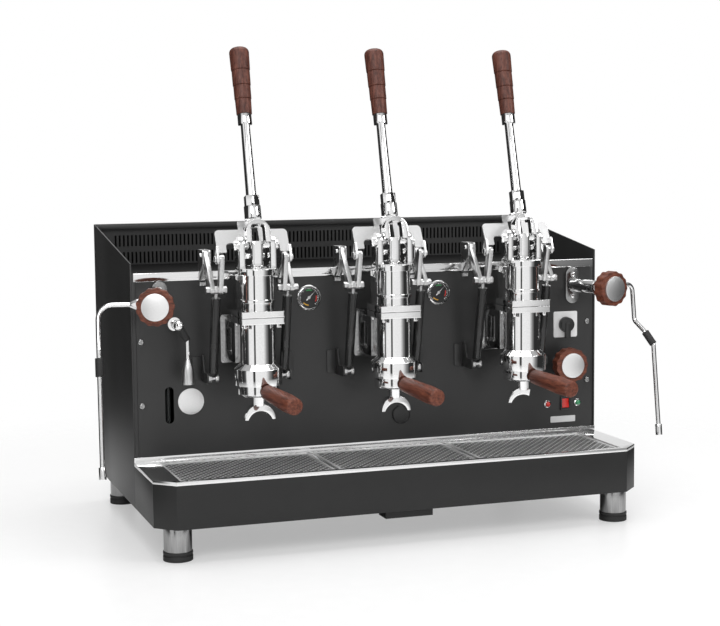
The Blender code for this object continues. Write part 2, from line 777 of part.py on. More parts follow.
# Crosshead on the piston rod, measured from the lever's axle
CROSSHEAD_HALF_WIDTH = 0.0115
CROSSHEAD_FRONT = -0.018
CROSSHEAD_STEP = 0.010
CROSSHEAD_BACK = 0.044
CROSSHEAD_TOP = 0.008
CROSSHEAD_STEP_Z = -0.009
CROSSHEAD_LOW = -0.039
CROSSHEAD_CORNER = 0.010
CROSSHEAD_SMALL_CORNER = 0.003
SLOT_RELIEF = 0.0013
SLOT_END_RELIEF = 0.0008
PISTON_GAP = 0.0003
PISTON_LOW_DROP = 0.187
PISTON_LOW_Z = DECK_HEIGHT - PISTON_LOW_DROP
PISTON_HEIGHT = 0.026

# Damper linkage at each side of a group: pivots and the slabs in which the links lie
LINK_TOP_Y = -0.092
LINK_TOP_RISE = 0.029
LINK_TOP_Z = DECK_HEIGHT + LINK_TOP_RISE
COMMON_Y = -0.078
COMMON_DROP = 0.03
COMMON_Z = DECK_HEIGHT - COMMON_DROP
SWING_PIVOT_Y = -0.028
SWING_PIVOT_RISE = 0.033
SWING_PIVOT_Z = DECK_HEIGHT + SWING_PIVOT_RISE
STRUT_FOOT_Y = -0.042
STRUT_FOOT_DROP = 0.202
STRUT_FOOT_Z = DECK_HEIGHT - STRUT_FOOT_DROP
LINK_PIN_RADIUS = 0.004
PULL_INNER_X = 0.058
PULL_OUTER_X = 0.0662
LINK_RADIUS = 0.008
LINK_WAIST_RADIUS = 0.006
LINK_NUT_LENGTH = 0.008
LINK_NUT_RADIUS = 0.007
STRUT_X = 0.070
STRUT_EYE_HALF = 0.0035
STRUT_EYE_RADIUS = 0.0075
STRUT_TUBE_RADIUS = 0.009
STRUT_BORE = 0.004
STRUT_ROD_RADIUS = 0.0036
STRUT_TUBE_LOW = 0.012
STRUT_TUBE_TOP = 0.160
STRUT_BORE_LOW = 0.025
STRUT_ROD_LOW = 0.030
SWING_INNER_X = 0.0738
SWING_OUTER_X = 0.082
BRACKET_SHEET = 0.0035
BRACKET_REACH = 0.040
BRACKET_LOW_DROP = 0.017
BRACKET_LOW_Z = DECK_HEIGHT - BRACKET_LOW_DROP
BRACKET_FOOT_DROP = 0.027
BRACKET_FOOT_Z = DECK_HEIGHT - BRACKET_FOOT_DROP
BRACKET_TOP_RISE = 0.043
BRACKET_TOP_Z = DECK_HEIGHT + BRACKET_TOP_RISE
BRACKET_NOSE_RISE = 0.017
BRACKET_NOSE_Z = DECK_HEIGHT + BRACKET_NOSE_RISE
LOW_BRACKET_X = 0.0805
LOW_BRACKET_SHEET = 0.003
LOW_BRACKET_TOP_DROP = 0.161
LOW_BRACKET_TOP_Z = DECK_HEIGHT - LOW_BRACKET_TOP_DROP
LOW_BRACKET_NOSE_RADIUS = 0.010
LOW_BRACKET_STRIP = 0.012
LOW_BRACKET_FOOT = 0.018

# Portafilter and its handle
BOWL_RADIUS = 0.0398
BOWL_LOW_DROP = 0.2274
BOWL_LOW_Z = DECK_HEIGHT - BOWL_LOW_DROP
BOWL_ROUND = 0.003
SPOUT_STEM_RADIUS = 0.0125
SPOUT_STEM_LOW_DROP = 0.248
SPOUT_STEM_LOW_Z = DECK_HEIGHT - SPOUT_STEM_LOW_DROP
SPOUT_OUTER_RADIUS = 0.0295
SPOUT_CENTRE_DROP = 0.2735
SPOUT_CENTRE_Z = DECK_HEIGHT - SPOUT_CENTRE_DROP
SPOUT_INNER_RADIUS = 0.0245
SPOUT_INNER_DROP = 0.008
SPOUT_DEPTH = 0.020
SPOUT_EDGE = 0.002
SPOUT_TURNS = (0.0, 0.0, radians(-60))
HANDLE_TURN = radians(5)
HANDLE_DROP = radians(3.1)
HANDLE_ROOT_DROP = 0.2145
HANDLE_ROOT_Z = DECK_HEIGHT - HANDLE_ROOT_DROP
HANDLE_NECK_RADIUS = 0.0067
HANDLE_LOW = 0.055
HANDLE_TOP = 0.186
HANDLE_LOW_RADIUS = 0.011
HANDLE_SWELL_RADIUS = 0.017
HANDLE_END_RADIUS = 0.0158
HANDLE_SWELL_SHARE = 0.72
HANDLE_CROWN = 0.003


def group_places():
    return [step * GROUP_PITCH for step in (-1, 0, 1)]


def tongue(centre_y, centre_z, radius, low_z):
    """An upright outline with a round top, seen from the side."""
    half = MIDDLE // 2
    arch = [(centre_y + radius * cos(pi * k / half), centre_z + radius * sin(pi * k / half))
            for k in range(half + 1)]
    return [(centre_y + radius, low_z)] + arch + [(centre_y - radius, low_z)]


def square_ring(half, hole, z1, z2):
    outline = rounded(rectangle(-half, half, -GROUP_REACH - half, -GROUP_REACH + half),
                      CLAMP_CORNER, 1)
    return flat_plate(outline, z1, z2, [circle((0, -GROUP_REACH), hole)])


def cylinder():
    """Bell, barrel, spring housing and cap turned in one, hollow for the piston."""
    hole = ROD_RADIUS + RUNNING
    mouth = bore_for(RIM_RADIUS, ROUND)
    ring_top = HEAD_RING_Z + HEAD_RING_HEIGHT
    collar_top = CAP_TOP_Z + COLLAR_RISE
    profile = [(0, BORE_LOW_Z), (CYLINDER_BORE, BORE_LOW_Z), (CYLINDER_BORE, CAP_LOW_Z),
               (hole, CAP_LOW_Z), (hole, collar_top), (COLLAR_RADIUS, collar_top),
               (COLLAR_RADIUS, CAP_TOP_Z), (CAP_RADIUS, CAP_TOP_Z), (CAP_RADIUS, CAP_LOW_Z),
               (HEAD_RADIUS, CAP_LOW_Z), (HEAD_RADIUS, ring_top), (HEAD_RING_RADIUS, ring_top),
               (HEAD_RING_RADIUS, HEAD_RING_Z), (HEAD_RADIUS, HEAD_RING_Z),
               (HEAD_RADIUS, CLAMP_SPLIT_Z), (BARREL_RADIUS, CLAMP_SPLIT_Z),
               (BARREL_RADIUS, BELL_CONE_Z), (BELL_RADIUS, BELL_HIGH_Z), (BELL_RADIUS, BELL_LOW_Z),
               (mouth, BELL_LOW_Z), (mouth, RIM_TOP_Z + SEAT),
               (0, RIM_TOP_Z + SEAT)]
    return turned(profile, case(0, -GROUP_REACH, 0))


def neck_pieces():
    """The neck with its sunk sides, the flange on the panel and the pipe to the boiler."""
    front = -GROUP_REACH + (CYLINDER_BORE + HEAD_RADIUS) / 2
    neck = flat_plate(rectangle(-NECK_HALF_WIDTH, NECK_HALF_WIDTH, front,
                                -FOOT_FLANGE_THICKNESS / 2), NECK_LOW_Z, NECK_HIGH_Z)
    pocket_back = -FOOT_FLANGE_THICKNESS - POCKET_BORDER
    pocket_front = front + 2 * POCKET_BORDER
    pocket = rounded(rectangle(pocket_front, pocket_back, NECK_LOW_Z + POCKET_BORDER,
                               NECK_HIGH_Z - POCKET_BORDER), NECK_CORNER, 1)
    pockets = []
    for side in (-1, 1):
        inner = side * (NECK_HALF_WIDTH - POCKET_DEPTH)
        outer = side * (NECK_HALF_WIDTH + OVERRUN)
        pockets.append(side_plate(pocket, inner, outer))
    flange_half = NECK_HALF_WIDTH + FOOT_FLANGE_SIDE
    flange = front_plate(rounded(rectangle(-flange_half, flange_half,
                                           NECK_LOW_Z - FOOT_FLANGE_SIDE, NECK_HIGH_Z + FOOT_FLANGE_SIDE),
                                 NECK_CORNER), -FOOT_FLANGE_THICKNESS, -SEAT)
    pipe = rod(case(0, -FOOT_FLANGE_THICKNESS / 2, NECK_Z),
               case(0, BOILER_Y - BOILER_RADIUS - SEAT, NECK_Z), NECK_PIPE_RADIUS, MIDDLE)
    return [cut(neck, *pockets), flange, pipe]


def clamp_pieces():
    """The two square clamp plates with a seam between them, and the four bolts below."""
    hole = (CYLINDER_BORE + HEAD_RADIUS) / 2
    pieces = [square_ring(CLAMP_HALF, hole, CLAMP_LOW_Z, CLAMP_SPLIT_Z - CLAMP_SEAM / 2),
              square_ring(CLAMP_HALF, hole, CLAMP_SPLIT_Z + CLAMP_SEAM / 2, CLAMP_TOP_Z)]
    reach = CLAMP_HALF - CLAMP_BOLT_INSET
    for side in (-1, 1):
        for end in (-1, 1):
            x = side * reach
            y = -GROUP_REACH + end * reach
            pieces.append(rod(case(x, y, CLAMP_LOW_Z - CLAMP_BOLT_DROP),
                              case(x, y, CLAMP_LOW_Z + CLAMP_BOLT_DROP), CLAMP_BOLT_RADIUS,
                              HEXAGON))
    return pieces


def ear_pieces():
    """The two ears for the lever's axle, on a base round the rod's collar."""
    ear_low = (CAP_LOW_Z + CAP_TOP_Z) / 2
    ears = []
    for side in (-1, 1):
        ears.append(side_plate(tongue(AXLE_Y, AXLE_Z, EAR_RADIUS, ear_low), side * EAR_INNER,
                               side * EAR_OUTER))
    hole = (COLLAR_RADIUS + EAR_INNER) / 2
    half = EAR_OUTER + EAR_BASE_MARGIN
    front = -GROUP_REACH - hole - EAR_BASE_BORDER
    base = flat_plate(rounded(rectangle(-half, half, front, AXLE_Y + EAR_RADIUS + EAR_BASE_MARGIN),
                              EAR_BASE_CORNER, 1), ear_low + COLLAR_RISE / 2,
                      CAP_TOP_Z + COLLAR_RISE / 3, [circle((0, -GROUP_REACH), hole, MIDDLE, pi / MIDDLE)])
    return [base] + ears


def group_body():
    """Everything that stays still at one group."""
    block = flat_plate(rectangle(-BLOCK_HALF_WIDTH, BLOCK_HALF_WIDTH,
                                 -GROUP_REACH + (CYLINDER_BORE + HEAD_RADIUS) / 2,
                                 -GROUP_REACH + HEAD_RADIUS + BLOCK_REACH),
                       CLAMP_TOP_Z - CLAMP_CORNER / 2, BLOCK_TOP_Z)
    return fused(cylinder(), *clamp_pieces(), *neck_pieces(), block, *ear_pieces(), *axle_pins())


def axle_pins():
    """The two stub pins on which the fork turns, one in each ear."""
    pins = []
    for side in (-1, 1):
        head = EAR_OUTER - SEAT
        inner = FORK_INNER + SEAT
        profile = [(0, head + AXLE_HEAD_THICKNESS), (AXLE_HEAD_RADIUS, head + AXLE_HEAD_THICKNESS),
                   (AXLE_HEAD_RADIUS, head), (AXLE_RADIUS, head), (AXLE_RADIUS, inner), (0, inner)]
        pins.append(turned(profile, case(0, AXLE_Y, AXLE_Z), X_AXIS * side, MIDDLE))
    return pins


def crank_place():
    """The lever pin at rest. The travel is split evenly about the level."""
    return AXLE_Y + CRANK * cos(TRAVEL / 2), AXLE_Z - CRANK * sin(TRAVEL / 2)


def lever_frame():
    """A frame at the axle: X across, Y up the lever, Z forward from it."""
    up = Vector((0, sin(LEAN), cos(LEAN)))
    return frame_at(case(0, AXLE_Y, AXLE_Z), X_AXIS, up)


def fork():
    """Fork, socket, nut, arm and ferrule, with the crank pin between the fork's lobes."""
    frame = lever_frame()
    pin_y, pin_z = crank_place()
    lobe = side_plate(strap((AXLE_Y, AXLE_Z), (pin_y, pin_z), FORK_LOBE_RADIUS, SMALL,
                            CRANK_LOBE_RADIUS), -FORK_OUTER - LOBE_RAISE, FORK_OUTER + LOBE_RAISE)
    outline = [(-FORK_OUTER, 0), (FORK_OUTER, 0), (FORK_OUTER, FORK_SHOULDER),
               (FORK_TOP_HALF, FORK_TOP), (-FORK_TOP_HALF, FORK_TOP), (-FORK_OUTER, FORK_SHOULDER)]
    body = plate(outline, 2 * FORK_HALF_THICKNESS, frame)
    deep = CRANK + FORK_LOBE_RADIUS + OVERRUN
    window = plate(rounded([(-FORK_INNER, -deep), (FORK_INNER, -deep), (FORK_INNER, FORK_WINDOW_TOP),
                            (-FORK_INNER, FORK_WINDOW_TOP)], [0, 0, FORK_WINDOW_CORNER, FORK_WINDOW_CORNER]),
                   2 * deep, frame)
    across = FORK_OUTER + OVERRUN
    hole = rod(case(-across, AXLE_Y, AXLE_Z), case(across, AXLE_Y, AXLE_Z),
               bore_for(AXLE_RADIUS, MIDDLE), MIDDLE)
    body = cut(fused(body, lobe), window, hole)
    inset = FORK_OUTER - SEAT
    pin = rod(case(-inset, pin_y, pin_z), case(inset, pin_y, pin_z), CRANK_PIN_RADIUS, SMALL)
    profile = [(0, GRIP_LOW - SEAT), (FERRULE_RADIUS, GRIP_LOW - SEAT), (FERRULE_RADIUS, FERRULE_LOW),
               (ARM_HIGH_RADIUS, FERRULE_LOW), (ARM_LOW_RADIUS, NUT_TOP - OVERRUN),
               (ARM_LOW_RADIUS, SOCKET_TOP), (SOCKET_RADIUS, SOCKET_TOP), (SOCKET_RADIUS, SOCKET_LOW),
               (0, SOCKET_LOW)]
    up = Vector((0, sin(LEAN), cos(LEAN)))
    axle = case(0, AXLE_Y, AXLE_Z)
    arm = turned(profile, axle, up, MIDDLE)
    nut = rod(axle + up * (SOCKET_TOP - OVERRUN), axle + up * NUT_TOP, NUT_RADIUS, HEXAGON)
    return fused(body, arm, nut, pin)


def yoke():
    """The plate behind the fork, with its window for the crosshead and a flange at each side."""
    up = Vector((0, sin(YOKE_LEAN), cos(YOKE_LEAN)))
    back = Vector((0, cos(YOKE_LEAN), -sin(YOKE_LEAN)))
    foot = case(0, YOKE_FOOT_Y, YOKE_FOOT_Z)
    leg = YOKE_HALF_WIDTH - YOKE_LEG_WIDTH
    edge = YOKE_HALF_WIDTH - YOKE_FLANGE_SHEET / 2
    right = [(YOKE_WINDOW_HALF, YOKE_HUMP_LOW), (YOKE_WINDOW_HALF, YOKE_BRIDGE_LOW),
             (leg, YOKE_BRIDGE_LOW), (leg, 0), (edge, 0), (edge, YOKE_BRIDGE_TOP),
             (YOKE_HUMP_HALF, YOKE_BRIDGE_TOP), (YOKE_HUMP_HALF, YOKE_HUMP_TOP)]
    small = YOKE_INNER_CORNER
    corners = [small, small, YOKE_CORNER, small, small, YOKE_CORNER, small, small]
    left = [(-u, v) for u, v in reversed(right)]
    outline = rounded(right + left, corners + list(reversed(corners)), 1)
    body = plate(outline, YOKE_THICKNESS, frame_at(foot, X_AXIS, up))
    flanges = []
    eye = (LINK_TOP_Y, LINK_TOP_Z)
    root = up * YOKE_BRIDGE_TOP
    for side in (-1, 1):
        low_front = (YOKE_FOOT_Y - YOKE_THICKNESS / 2, YOKE_FOOT_Z)
        top = (YOKE_FOOT_Y + root[1], YOKE_FOOT_Z + root[2] - YOKE_CORNER)
        rear_top = (top[0] + YOKE_FLANGE_DEPTH * back[1], top[1] + YOKE_FLANGE_DEPTH * back[2])
        shape = [low_front, top, rear_top, (eye[0] + YOKE_EYE_RADIUS, eye[1] + YOKE_EYE_RADIUS / 2)]
        inner = side * (YOKE_HALF_WIDTH - YOKE_FLANGE_SHEET)
        outer = side * YOKE_HALF_WIDTH
        sheet = side_plate(rounded(shape, [0, 0, YOKE_CORNER, 0], 2), inner, outer)
        ring = side_plate(strap(eye, (YOKE_FOOT_Y, YOKE_FOOT_Z + YOKE_EYE_RADIUS), YOKE_EYE_RADIUS,
                                SMALL, YOKE_THICKNESS), inner - side * LOBE_RAISE,
                          outer + side * LOBE_RAISE)
        hole = rod(case(inner - side * OVERRUN, *eye), case(outer + side * OVERRUN, *eye),
                   bore_for(LINK_PIN_RADIUS, SMALL), SMALL)
        flanges.append(cut(fused(sheet, ring), hole))
    return fused(body, *flanges)


def lever():
    """Fork and yoke, joined by the lug behind the fork."""
    frame = lever_frame()
    hump = case(0, YOKE_FOOT_Y, YOKE_FOOT_Z)
    hump += Vector((0, sin(YOKE_LEAN), cos(YOKE_LEAN))) * (YOKE_HUMP_LOW + YOKE_HUMP_TOP) / 2
    reach = -(frame.inverted() @ hump).z
    lug = plate(rectangle(-LUG_HALF_WIDTH, LUG_HALF_WIDTH, FORK_WINDOW_TOP + OVERRUN / 2, FORK_TOP - SEAT),
                reach, frame @ Matrix.Translation((0, 0, -reach / 2)))
    return fused(fork(), yoke(), lug)


def lever_grip():
    """The turned wooden grip with its three fine grooves."""
    profile = [(0, GRIP_TOP)]
    for k in range(1, CORNER_STEPS + 1):
        angle = pi / 2 * (1 - k / CORNER_STEPS)
        profile.append((GRIP_HIGH_RADIUS - GRIP_CROWN + GRIP_CROWN * cos(angle),
                        GRIP_TOP - GRIP_CROWN + GRIP_CROWN * sin(angle)))
    length = GRIP_TOP - GRIP_CROWN - GRIP_LOW
    for share in reversed(GRIP_GROOVE_SHARES):
        radius = GRIP_LOW_RADIUS + (GRIP_HIGH_RADIUS - GRIP_LOW_RADIUS) * share
        middle = GRIP_LOW + length * share
        profile.append((radius, middle + GRIP_GROOVE_WIDTH / 2))
        profile.append((radius - GRIP_GROOVE_DEPTH, middle))
        profile.append((radius, middle - GRIP_GROOVE_WIDTH / 2))
    profile += [(GRIP_LOW_RADIUS, GRIP_LOW), (0, GRIP_LOW)]
    return turned(profile, case(0, AXLE_Y, AXLE_Z), Vector((0, sin(LEAN), cos(LEAN))), MIDDLE)


def piston_rod():
    """Crosshead with its slot for the lever pin, rod and piston."""
    pin_y, pin_z = crank_place()
    front = AXLE_Y + CROSSHEAD_FRONT
    step = AXLE_Y + CROSSHEAD_STEP
    back = AXLE_Y + CROSSHEAD_BACK
    top = AXLE_Z + CROSSHEAD_TOP
    step_z = AXLE_Z + CROSSHEAD_STEP_Z
    low = AXLE_Z + CROSSHEAD_LOW
    small = CROSSHEAD_SMALL_CORNER
    outline = rounded([(front, low), (back, low), (back, step_z), (step, step_z), (step, top), (front, top)],
                      [small, small, small, small, small, CROSSHEAD_CORNER])
    near = pin_y - CRANK_PIN_RADIUS - SLOT_END_RELIEF
    far = AXLE_Y + CRANK + CRANK_PIN_RADIUS + SLOT_END_RELIEF
    half = CRANK_PIN_RADIUS + SLOT_RELIEF
    slot = rounded(rectangle(near, far, pin_z - half, pin_z + half), small, 2)
    head = side_plate(outline, -CROSSHEAD_HALF_WIDTH, CROSSHEAD_HALF_WIDTH, [slot])
    piston_top = PISTON_LOW_Z + PISTON_HEIGHT
    radius = CYLINDER_BORE - PISTON_GAP
    profile = [(0, low + OVERRUN), (ROD_RADIUS, low + OVERRUN), (ROD_RADIUS, piston_top),
               (radius, piston_top), (radius, PISTON_LOW_Z), (0, PISTON_LOW_Z)]
    return fused(head, turned(profile, case(0, -GROUP_REACH, 0)))


def cross_rod(x1, x2, y, z, radius, sides=SMALL):
    """A round bar along X, at the right of a group."""
    return rod(case(x1, y, z), case(x2, y, z), radius, sides)


def swing_link():
    """The outer link, hung from the bracket, with its nut at the common joint."""
    outline = strap((SWING_PIVOT_Y, SWING_PIVOT_Z), (COMMON_Y, COMMON_Z), LINK_RADIUS, SMALL)
    hole = circle((SWING_PIVOT_Y, SWING_PIVOT_Z), bore_for(LINK_PIN_RADIUS, SMALL), SMALL)
    body = side_plate(outline, SWING_INNER_X, SWING_OUTER_X, [hole])
    nut = cross_rod(SWING_OUTER_X - SEAT, SWING_OUTER_X + LINK_NUT_LENGTH, COMMON_Y, COMMON_Z,
                    LINK_NUT_RADIUS, HEXAGON)
    return fused(body, nut)


def pull_link():
    """The inner link, hung from the yoke by its own pin."""
    outline = strap((LINK_TOP_Y, LINK_TOP_Z), (COMMON_Y, COMMON_Z), LINK_RADIUS, SMALL)
    body = side_plate(outline, PULL_INNER_X, PULL_OUTER_X)
    nut = cross_rod(PULL_INNER_X - LINK_NUT_LENGTH, PULL_INNER_X + SEAT, COMMON_Y, COMMON_Z,
                    LINK_NUT_RADIUS, HEXAGON)
    flange_inner = YOKE_HALF_WIDTH - YOKE_FLANGE_SHEET - LOBE_RAISE - SEAT
    head = YOKE_HALF_WIDTH + LOBE_RAISE + SEAT
    boss = cross_rod(PULL_OUTER_X - SEAT, flange_inner, LINK_TOP_Y, LINK_TOP_Z, LINK_NUT_RADIUS)
    pin = cross_rod(PULL_OUTER_X - SEAT, head + YOKE_FLANGE_SHEET, LINK_TOP_Y, LINK_TOP_Z,
                    LINK_PIN_RADIUS)
    cap = cross_rod(head, head + YOKE_FLANGE_SHEET, LINK_TOP_Y, LINK_TOP_Z, LINK_WAIST_RADIUS)
    return fused(body, nut, boss, pin, cap)


def strut_axis():
    """The foot of a damper and the direction to the common joint."""
    foot = case(STRUT_X, STRUT_FOOT_Y, STRUT_FOOT_Z)
    common = case(STRUT_X, COMMON_Y, COMMON_Z)
    return foot, (common - foot).normalized(), (common - foot).length


def eye(y, z):
    return cross_rod(STRUT_X - STRUT_EYE_HALF, STRUT_X + STRUT_EYE_HALF, y, z, STRUT_EYE_RADIUS)


def strut_tube():
    """The damper's body with its bore and the eye at its foot."""
    foot, up, _ = strut_axis()
    profile = [(0, STRUT_BORE_LOW), (STRUT_BORE, STRUT_BORE_LOW), (STRUT_BORE, STRUT_TUBE_TOP),
               (STRUT_TUBE_RADIUS, STRUT_TUBE_TOP), (STRUT_TUBE_RADIUS, STRUT_TUBE_LOW),
               (0, STRUT_TUBE_LOW)]
    body = turned(profile, foot, up, SMALL)
    neck = rod(foot, foot + up * (STRUT_TUBE_LOW + OVERRUN), STRUT_EYE_HALF, SMALL)
    reach = STRUT_EYE_HALF + OVERRUN
    hole = cross_rod(STRUT_X - reach, STRUT_X + reach, STRUT_FOOT_Y, STRUT_FOOT_Z,
                     bore_for(LINK_PIN_RADIUS, SMALL))
    return cut(fused(body, neck, eye(STRUT_FOOT_Y, STRUT_FOOT_Z)), hole)


def strut_rod():
    """The damper's rod, which ends in the eye at the common joint."""
    foot, up, length = strut_axis()
    bar_piece = rod(foot + up * STRUT_ROD_LOW, foot + up * length, STRUT_ROD_RADIUS,
                    HEXAGON)
    return fused(bar_piece, eye(COMMON_Y, COMMON_Z))


def upper_bracket():
    """Two cheeks and a web on the panel, with the pin on which the swing link turns."""
    face = -SEAT - TRIM_SHEET - SEAT
    foot_z = BRACKET_LOW_Z - BRACKET_SHEET
    outline = rounded([(face, foot_z), (face, BRACKET_TOP_Z), (-BRACKET_REACH, BRACKET_TOP_Z),
                       (-BRACKET_REACH, BRACKET_NOSE_Z)], [0, 0, LINK_WAIST_RADIUS, 0], 1)
    inner = SWING_INNER_X - SEAT
    outer = SWING_OUTER_X + SEAT
    near = side_plate(outline, inner - BRACKET_SHEET, inner)
    far = side_plate(outline, outer, outer + BRACKET_SHEET)
    x1 = inner - BRACKET_SHEET / 2
    x2 = outer + BRACKET_SHEET / 2
    web = bar(x1, x2, face - BRACKET_SHEET, face, foot_z, BRACKET_TOP_Z)
    seat = bar(x1, x2, face - BRACKET_SHEET, SHEET / 2, BRACKET_FOOT_Z,
               DECK_HEIGHT - TRIM_DROP - SEAT)
    pin = cross_rod(inner - BRACKET_SHEET / 2, outer + 2 * BRACKET_SHEET, SWING_PIVOT_Y,
                    SWING_PIVOT_Z, LINK_PIN_RADIUS)
    return fused(near, far, web, seat, pin)


def lower_bracket():
    """The plate that carries a damper's foot on its pin, between two collars."""
    nose = STRUT_FOOT_Y - LOW_BRACKET_NOSE_RADIUS
    low = STRUT_FOOT_Z - LOW_BRACKET_NOSE_RADIUS
    shoulder = STRUT_FOOT_Z + LOW_BRACKET_NOSE_RADIUS
    outline = rounded([(SHEET / 2, low), (SHEET / 2, LOW_BRACKET_TOP_Z),
                       (-LOW_BRACKET_STRIP, LOW_BRACKET_TOP_Z), (-2 * LOW_BRACKET_STRIP, shoulder),
                       (nose, shoulder), (nose, low)],
                      [0, 0, 0, 0, LOW_BRACKET_STRIP / 2, LOW_BRACKET_STRIP / 2], 1)
    outer = LOW_BRACKET_X + LOW_BRACKET_SHEET
    sheet = side_plate(outline, LOW_BRACKET_X, outer)
    x1 = outer - SEAT
    x2 = outer + LOW_BRACKET_FOOT
    flange = bar(x1, x2, -LOW_BRACKET_SHEET, SHEET / 2, low + LOW_BRACKET_SHEET,
                 LOW_BRACKET_TOP_Z - LOW_BRACKET_SHEET)
    eye_inner = STRUT_X - STRUT_EYE_HALF - SEAT
    eye_outer = STRUT_X + STRUT_EYE_HALF + SEAT
    pin = cross_rod(eye_inner - LINK_WAIST_RADIUS, outer - SEAT, STRUT_FOOT_Y, STRUT_FOOT_Z,
                    LINK_PIN_RADIUS)
    washer = cross_rod(eye_outer, LOW_BRACKET_X + SEAT, STRUT_FOOT_Y, STRUT_FOOT_Z,
                       STRUT_EYE_RADIUS)
    nut = cross_rod(eye_inner - LINK_WAIST_RADIUS, eye_inner, STRUT_FOOT_Y, STRUT_FOOT_Z,
                    STRUT_EYE_RADIUS)
    return fused(sheet, flange, washer, pin, nut)


def handle_frame():
    """The foot and direction of a portafilter's handle."""
    root = case(0, -GROUP_REACH, HANDLE_ROOT_Z)
    level = cos(HANDLE_DROP)
    return root, Vector((level * sin(HANDLE_TURN), -level * cos(HANDLE_TURN), -sin(HANDLE_DROP)))


def portafilter(spout_turn):
    """Bowl with its rim in the bell, spout stem, crescent spout, and the handle on its neck."""
    bowl_top = BELL_LOW_Z - SEAT
    stem_low = SPOUT_STEM_LOW_Z
    profile = [(0, RIM_TOP_Z), (RIM_RADIUS, RIM_TOP_Z), (RIM_RADIUS, bowl_top), (BOWL_RADIUS, bowl_top),
               (BOWL_RADIUS, BOWL_LOW_Z + BOWL_ROUND), (BOWL_RADIUS - BOWL_ROUND, BOWL_LOW_Z),
               (SPOUT_STEM_RADIUS, BOWL_LOW_Z - BOWL_ROUND), (SPOUT_STEM_RADIUS, stem_low), (0, stem_low)]
    bowl = turned(profile, case(0, -GROUP_REACH, 0))
    half = ROUND // 2
    outer = [(SPOUT_OUTER_RADIUS * cos(pi * k / half), SPOUT_OUTER_RADIUS * sin(pi * k / half))
             for k in range(half + 1)]
    tip = asin(SPOUT_INNER_DROP / SPOUT_INNER_RADIUS)
    inner = []
    for k in range(half + 1):
        angle = pi - tip - (pi - 2 * tip) * k / half
        inner.append((SPOUT_INNER_RADIUS * cos(angle), SPOUT_INNER_RADIUS * sin(angle) - SPOUT_INNER_DROP))
    centre = case(0, -GROUP_REACH, SPOUT_CENTRE_Z)
    across = Matrix.Rotation(spout_turn, 3, "Z") @ X_AXIS
    spout = softened(plate(outer + inner, SPOUT_DEPTH, frame_at(centre, across, Z_AXIS)), SPOUT_EDGE)
    root, out = handle_frame()
    neck = rod(root + out * RIM_RADIUS, root + out * (HANDLE_LOW + OVERRUN), HANDLE_NECK_RADIUS, SMALL)
    return fused(bowl, spout, neck, portafilter_handle())


def portafilter_handle():
    """The turned wooden handle, thickest near its end."""
    swell = HANDLE_LOW + (HANDLE_TOP - HANDLE_LOW) * HANDLE_SWELL_SHARE
    root, out = handle_frame()
    profile = [(0, HANDLE_TOP), (HANDLE_END_RADIUS - HANDLE_CROWN, HANDLE_TOP),
               (HANDLE_END_RADIUS, HANDLE_TOP - HANDLE_CROWN), (HANDLE_SWELL_RADIUS, swell),
               ((HANDLE_SWELL_RADIUS + HANDLE_LOW_RADIUS) / 2, (swell + HANDLE_LOW) / 2),
               (HANDLE_LOW_RADIUS, HANDLE_LOW), (0, HANDLE_LOW)]
    return turned(profile, root, out, MIDDLE)


def groups():
    """Each group is a copy of the one at the middle, apart from how far its spout is turned."""
    axle = case(0, AXLE_Y, AXLE_Z)
    foot_pivot = case(STRUT_X, STRUT_FOOT_Y, STRUT_FOOT_Z)
    shared = {
        "group_body": (group_body(), POLISHED, case(0, -GROUP_REACH, 0)),
        "lever": (lever(), POLISHED, axle),
        "lever_grip": (lever_grip(), WALNUT, axle),
        "piston_rod": (piston_rod(), POLISHED, case(0, -GROUP_REACH, PISTON_LOW_Z)),
    }
    links = {
        "swing_link": (swing_link(), BRUSHED, case(SWING_INNER_X, SWING_PIVOT_Y, SWING_PIVOT_Z)),
        "pull_link": (pull_link(), BRUSHED, case(PULL_OUTER_X, LINK_TOP_Y, LINK_TOP_Z)),
        "strut_tube": (strut_tube(), BLACK_PAINT, foot_pivot),
        "strut_rod": (strut_rod(), BRUSHED, foot_pivot),
    }
    mirrored_links = {title: mirrored(piece) for title, (piece, _, _) in links.items()}
    for number, gx in enumerate(group_places(), 1):
        tag = "_" + str(number)
        for title, (piece, look, pivot) in shared.items():
            node(title + tag, look, shifted(piece, gx), pivot=pivot + Vector((gx, 0, 0)))
        filled = moved(portafilter(SPOUT_TURNS[number - 1]), Matrix.Translation((gx, 0, 0)))
        node("portafilter" + tag, POLISHED, filled, pivot=case(gx, -GROUP_REACH, 0))
        for title, (piece, look, pivot) in links.items():
            x, y, z = pivot
            node(title + tag + "_right", look, shifted(piece, gx), pivot=(gx + x, y, z))
            node(title + tag + "_left", look, shifted(mirrored_links[title], gx), pivot=(gx - x, y, z))
    for piece, _, _ in (*shared.values(), *links.values()):
        bpy.data.objects.remove(piece, do_unlink=True)
    for piece in mirrored_links.values():
        bpy.data.objects.remove(piece, do_unlink=True)


def panel_brackets():
    """The two brackets at each side of each group."""
    right = [upper_bracket(), lower_bracket()]
    pieces = []
    for gx in group_places():
        for bracket in right:
            pieces.append(shifted(bracket, gx))
            pieces.append(mirrored(pieces[-1]))
    for bracket in right:
        bpy.data.objects.remove(bracket, do_unlink=True)
    return pieces
# How far up the panel its fittings lie, from the tray's rim to the deck, as shares
GAUGE_SHARE = 0.84
SIGHT_LOW_SHARE = 0.2057
SIGHT_HIGH_SHARE = 0.3878
SELECTOR_SHARE = 0.6277
LAMP_SHARE = 0.1699
SCREW_HIGH_SHARE = 0.6387
SCREW_LOW_SHARE = 0.2995
PLUG_SHARE = 0.1671
WATER_SHARE = 0.4084
OUTLET_SHARE = 0.7297
PANEL_SPAN = DECK_HEIGHT - TRAY_HEIGHT



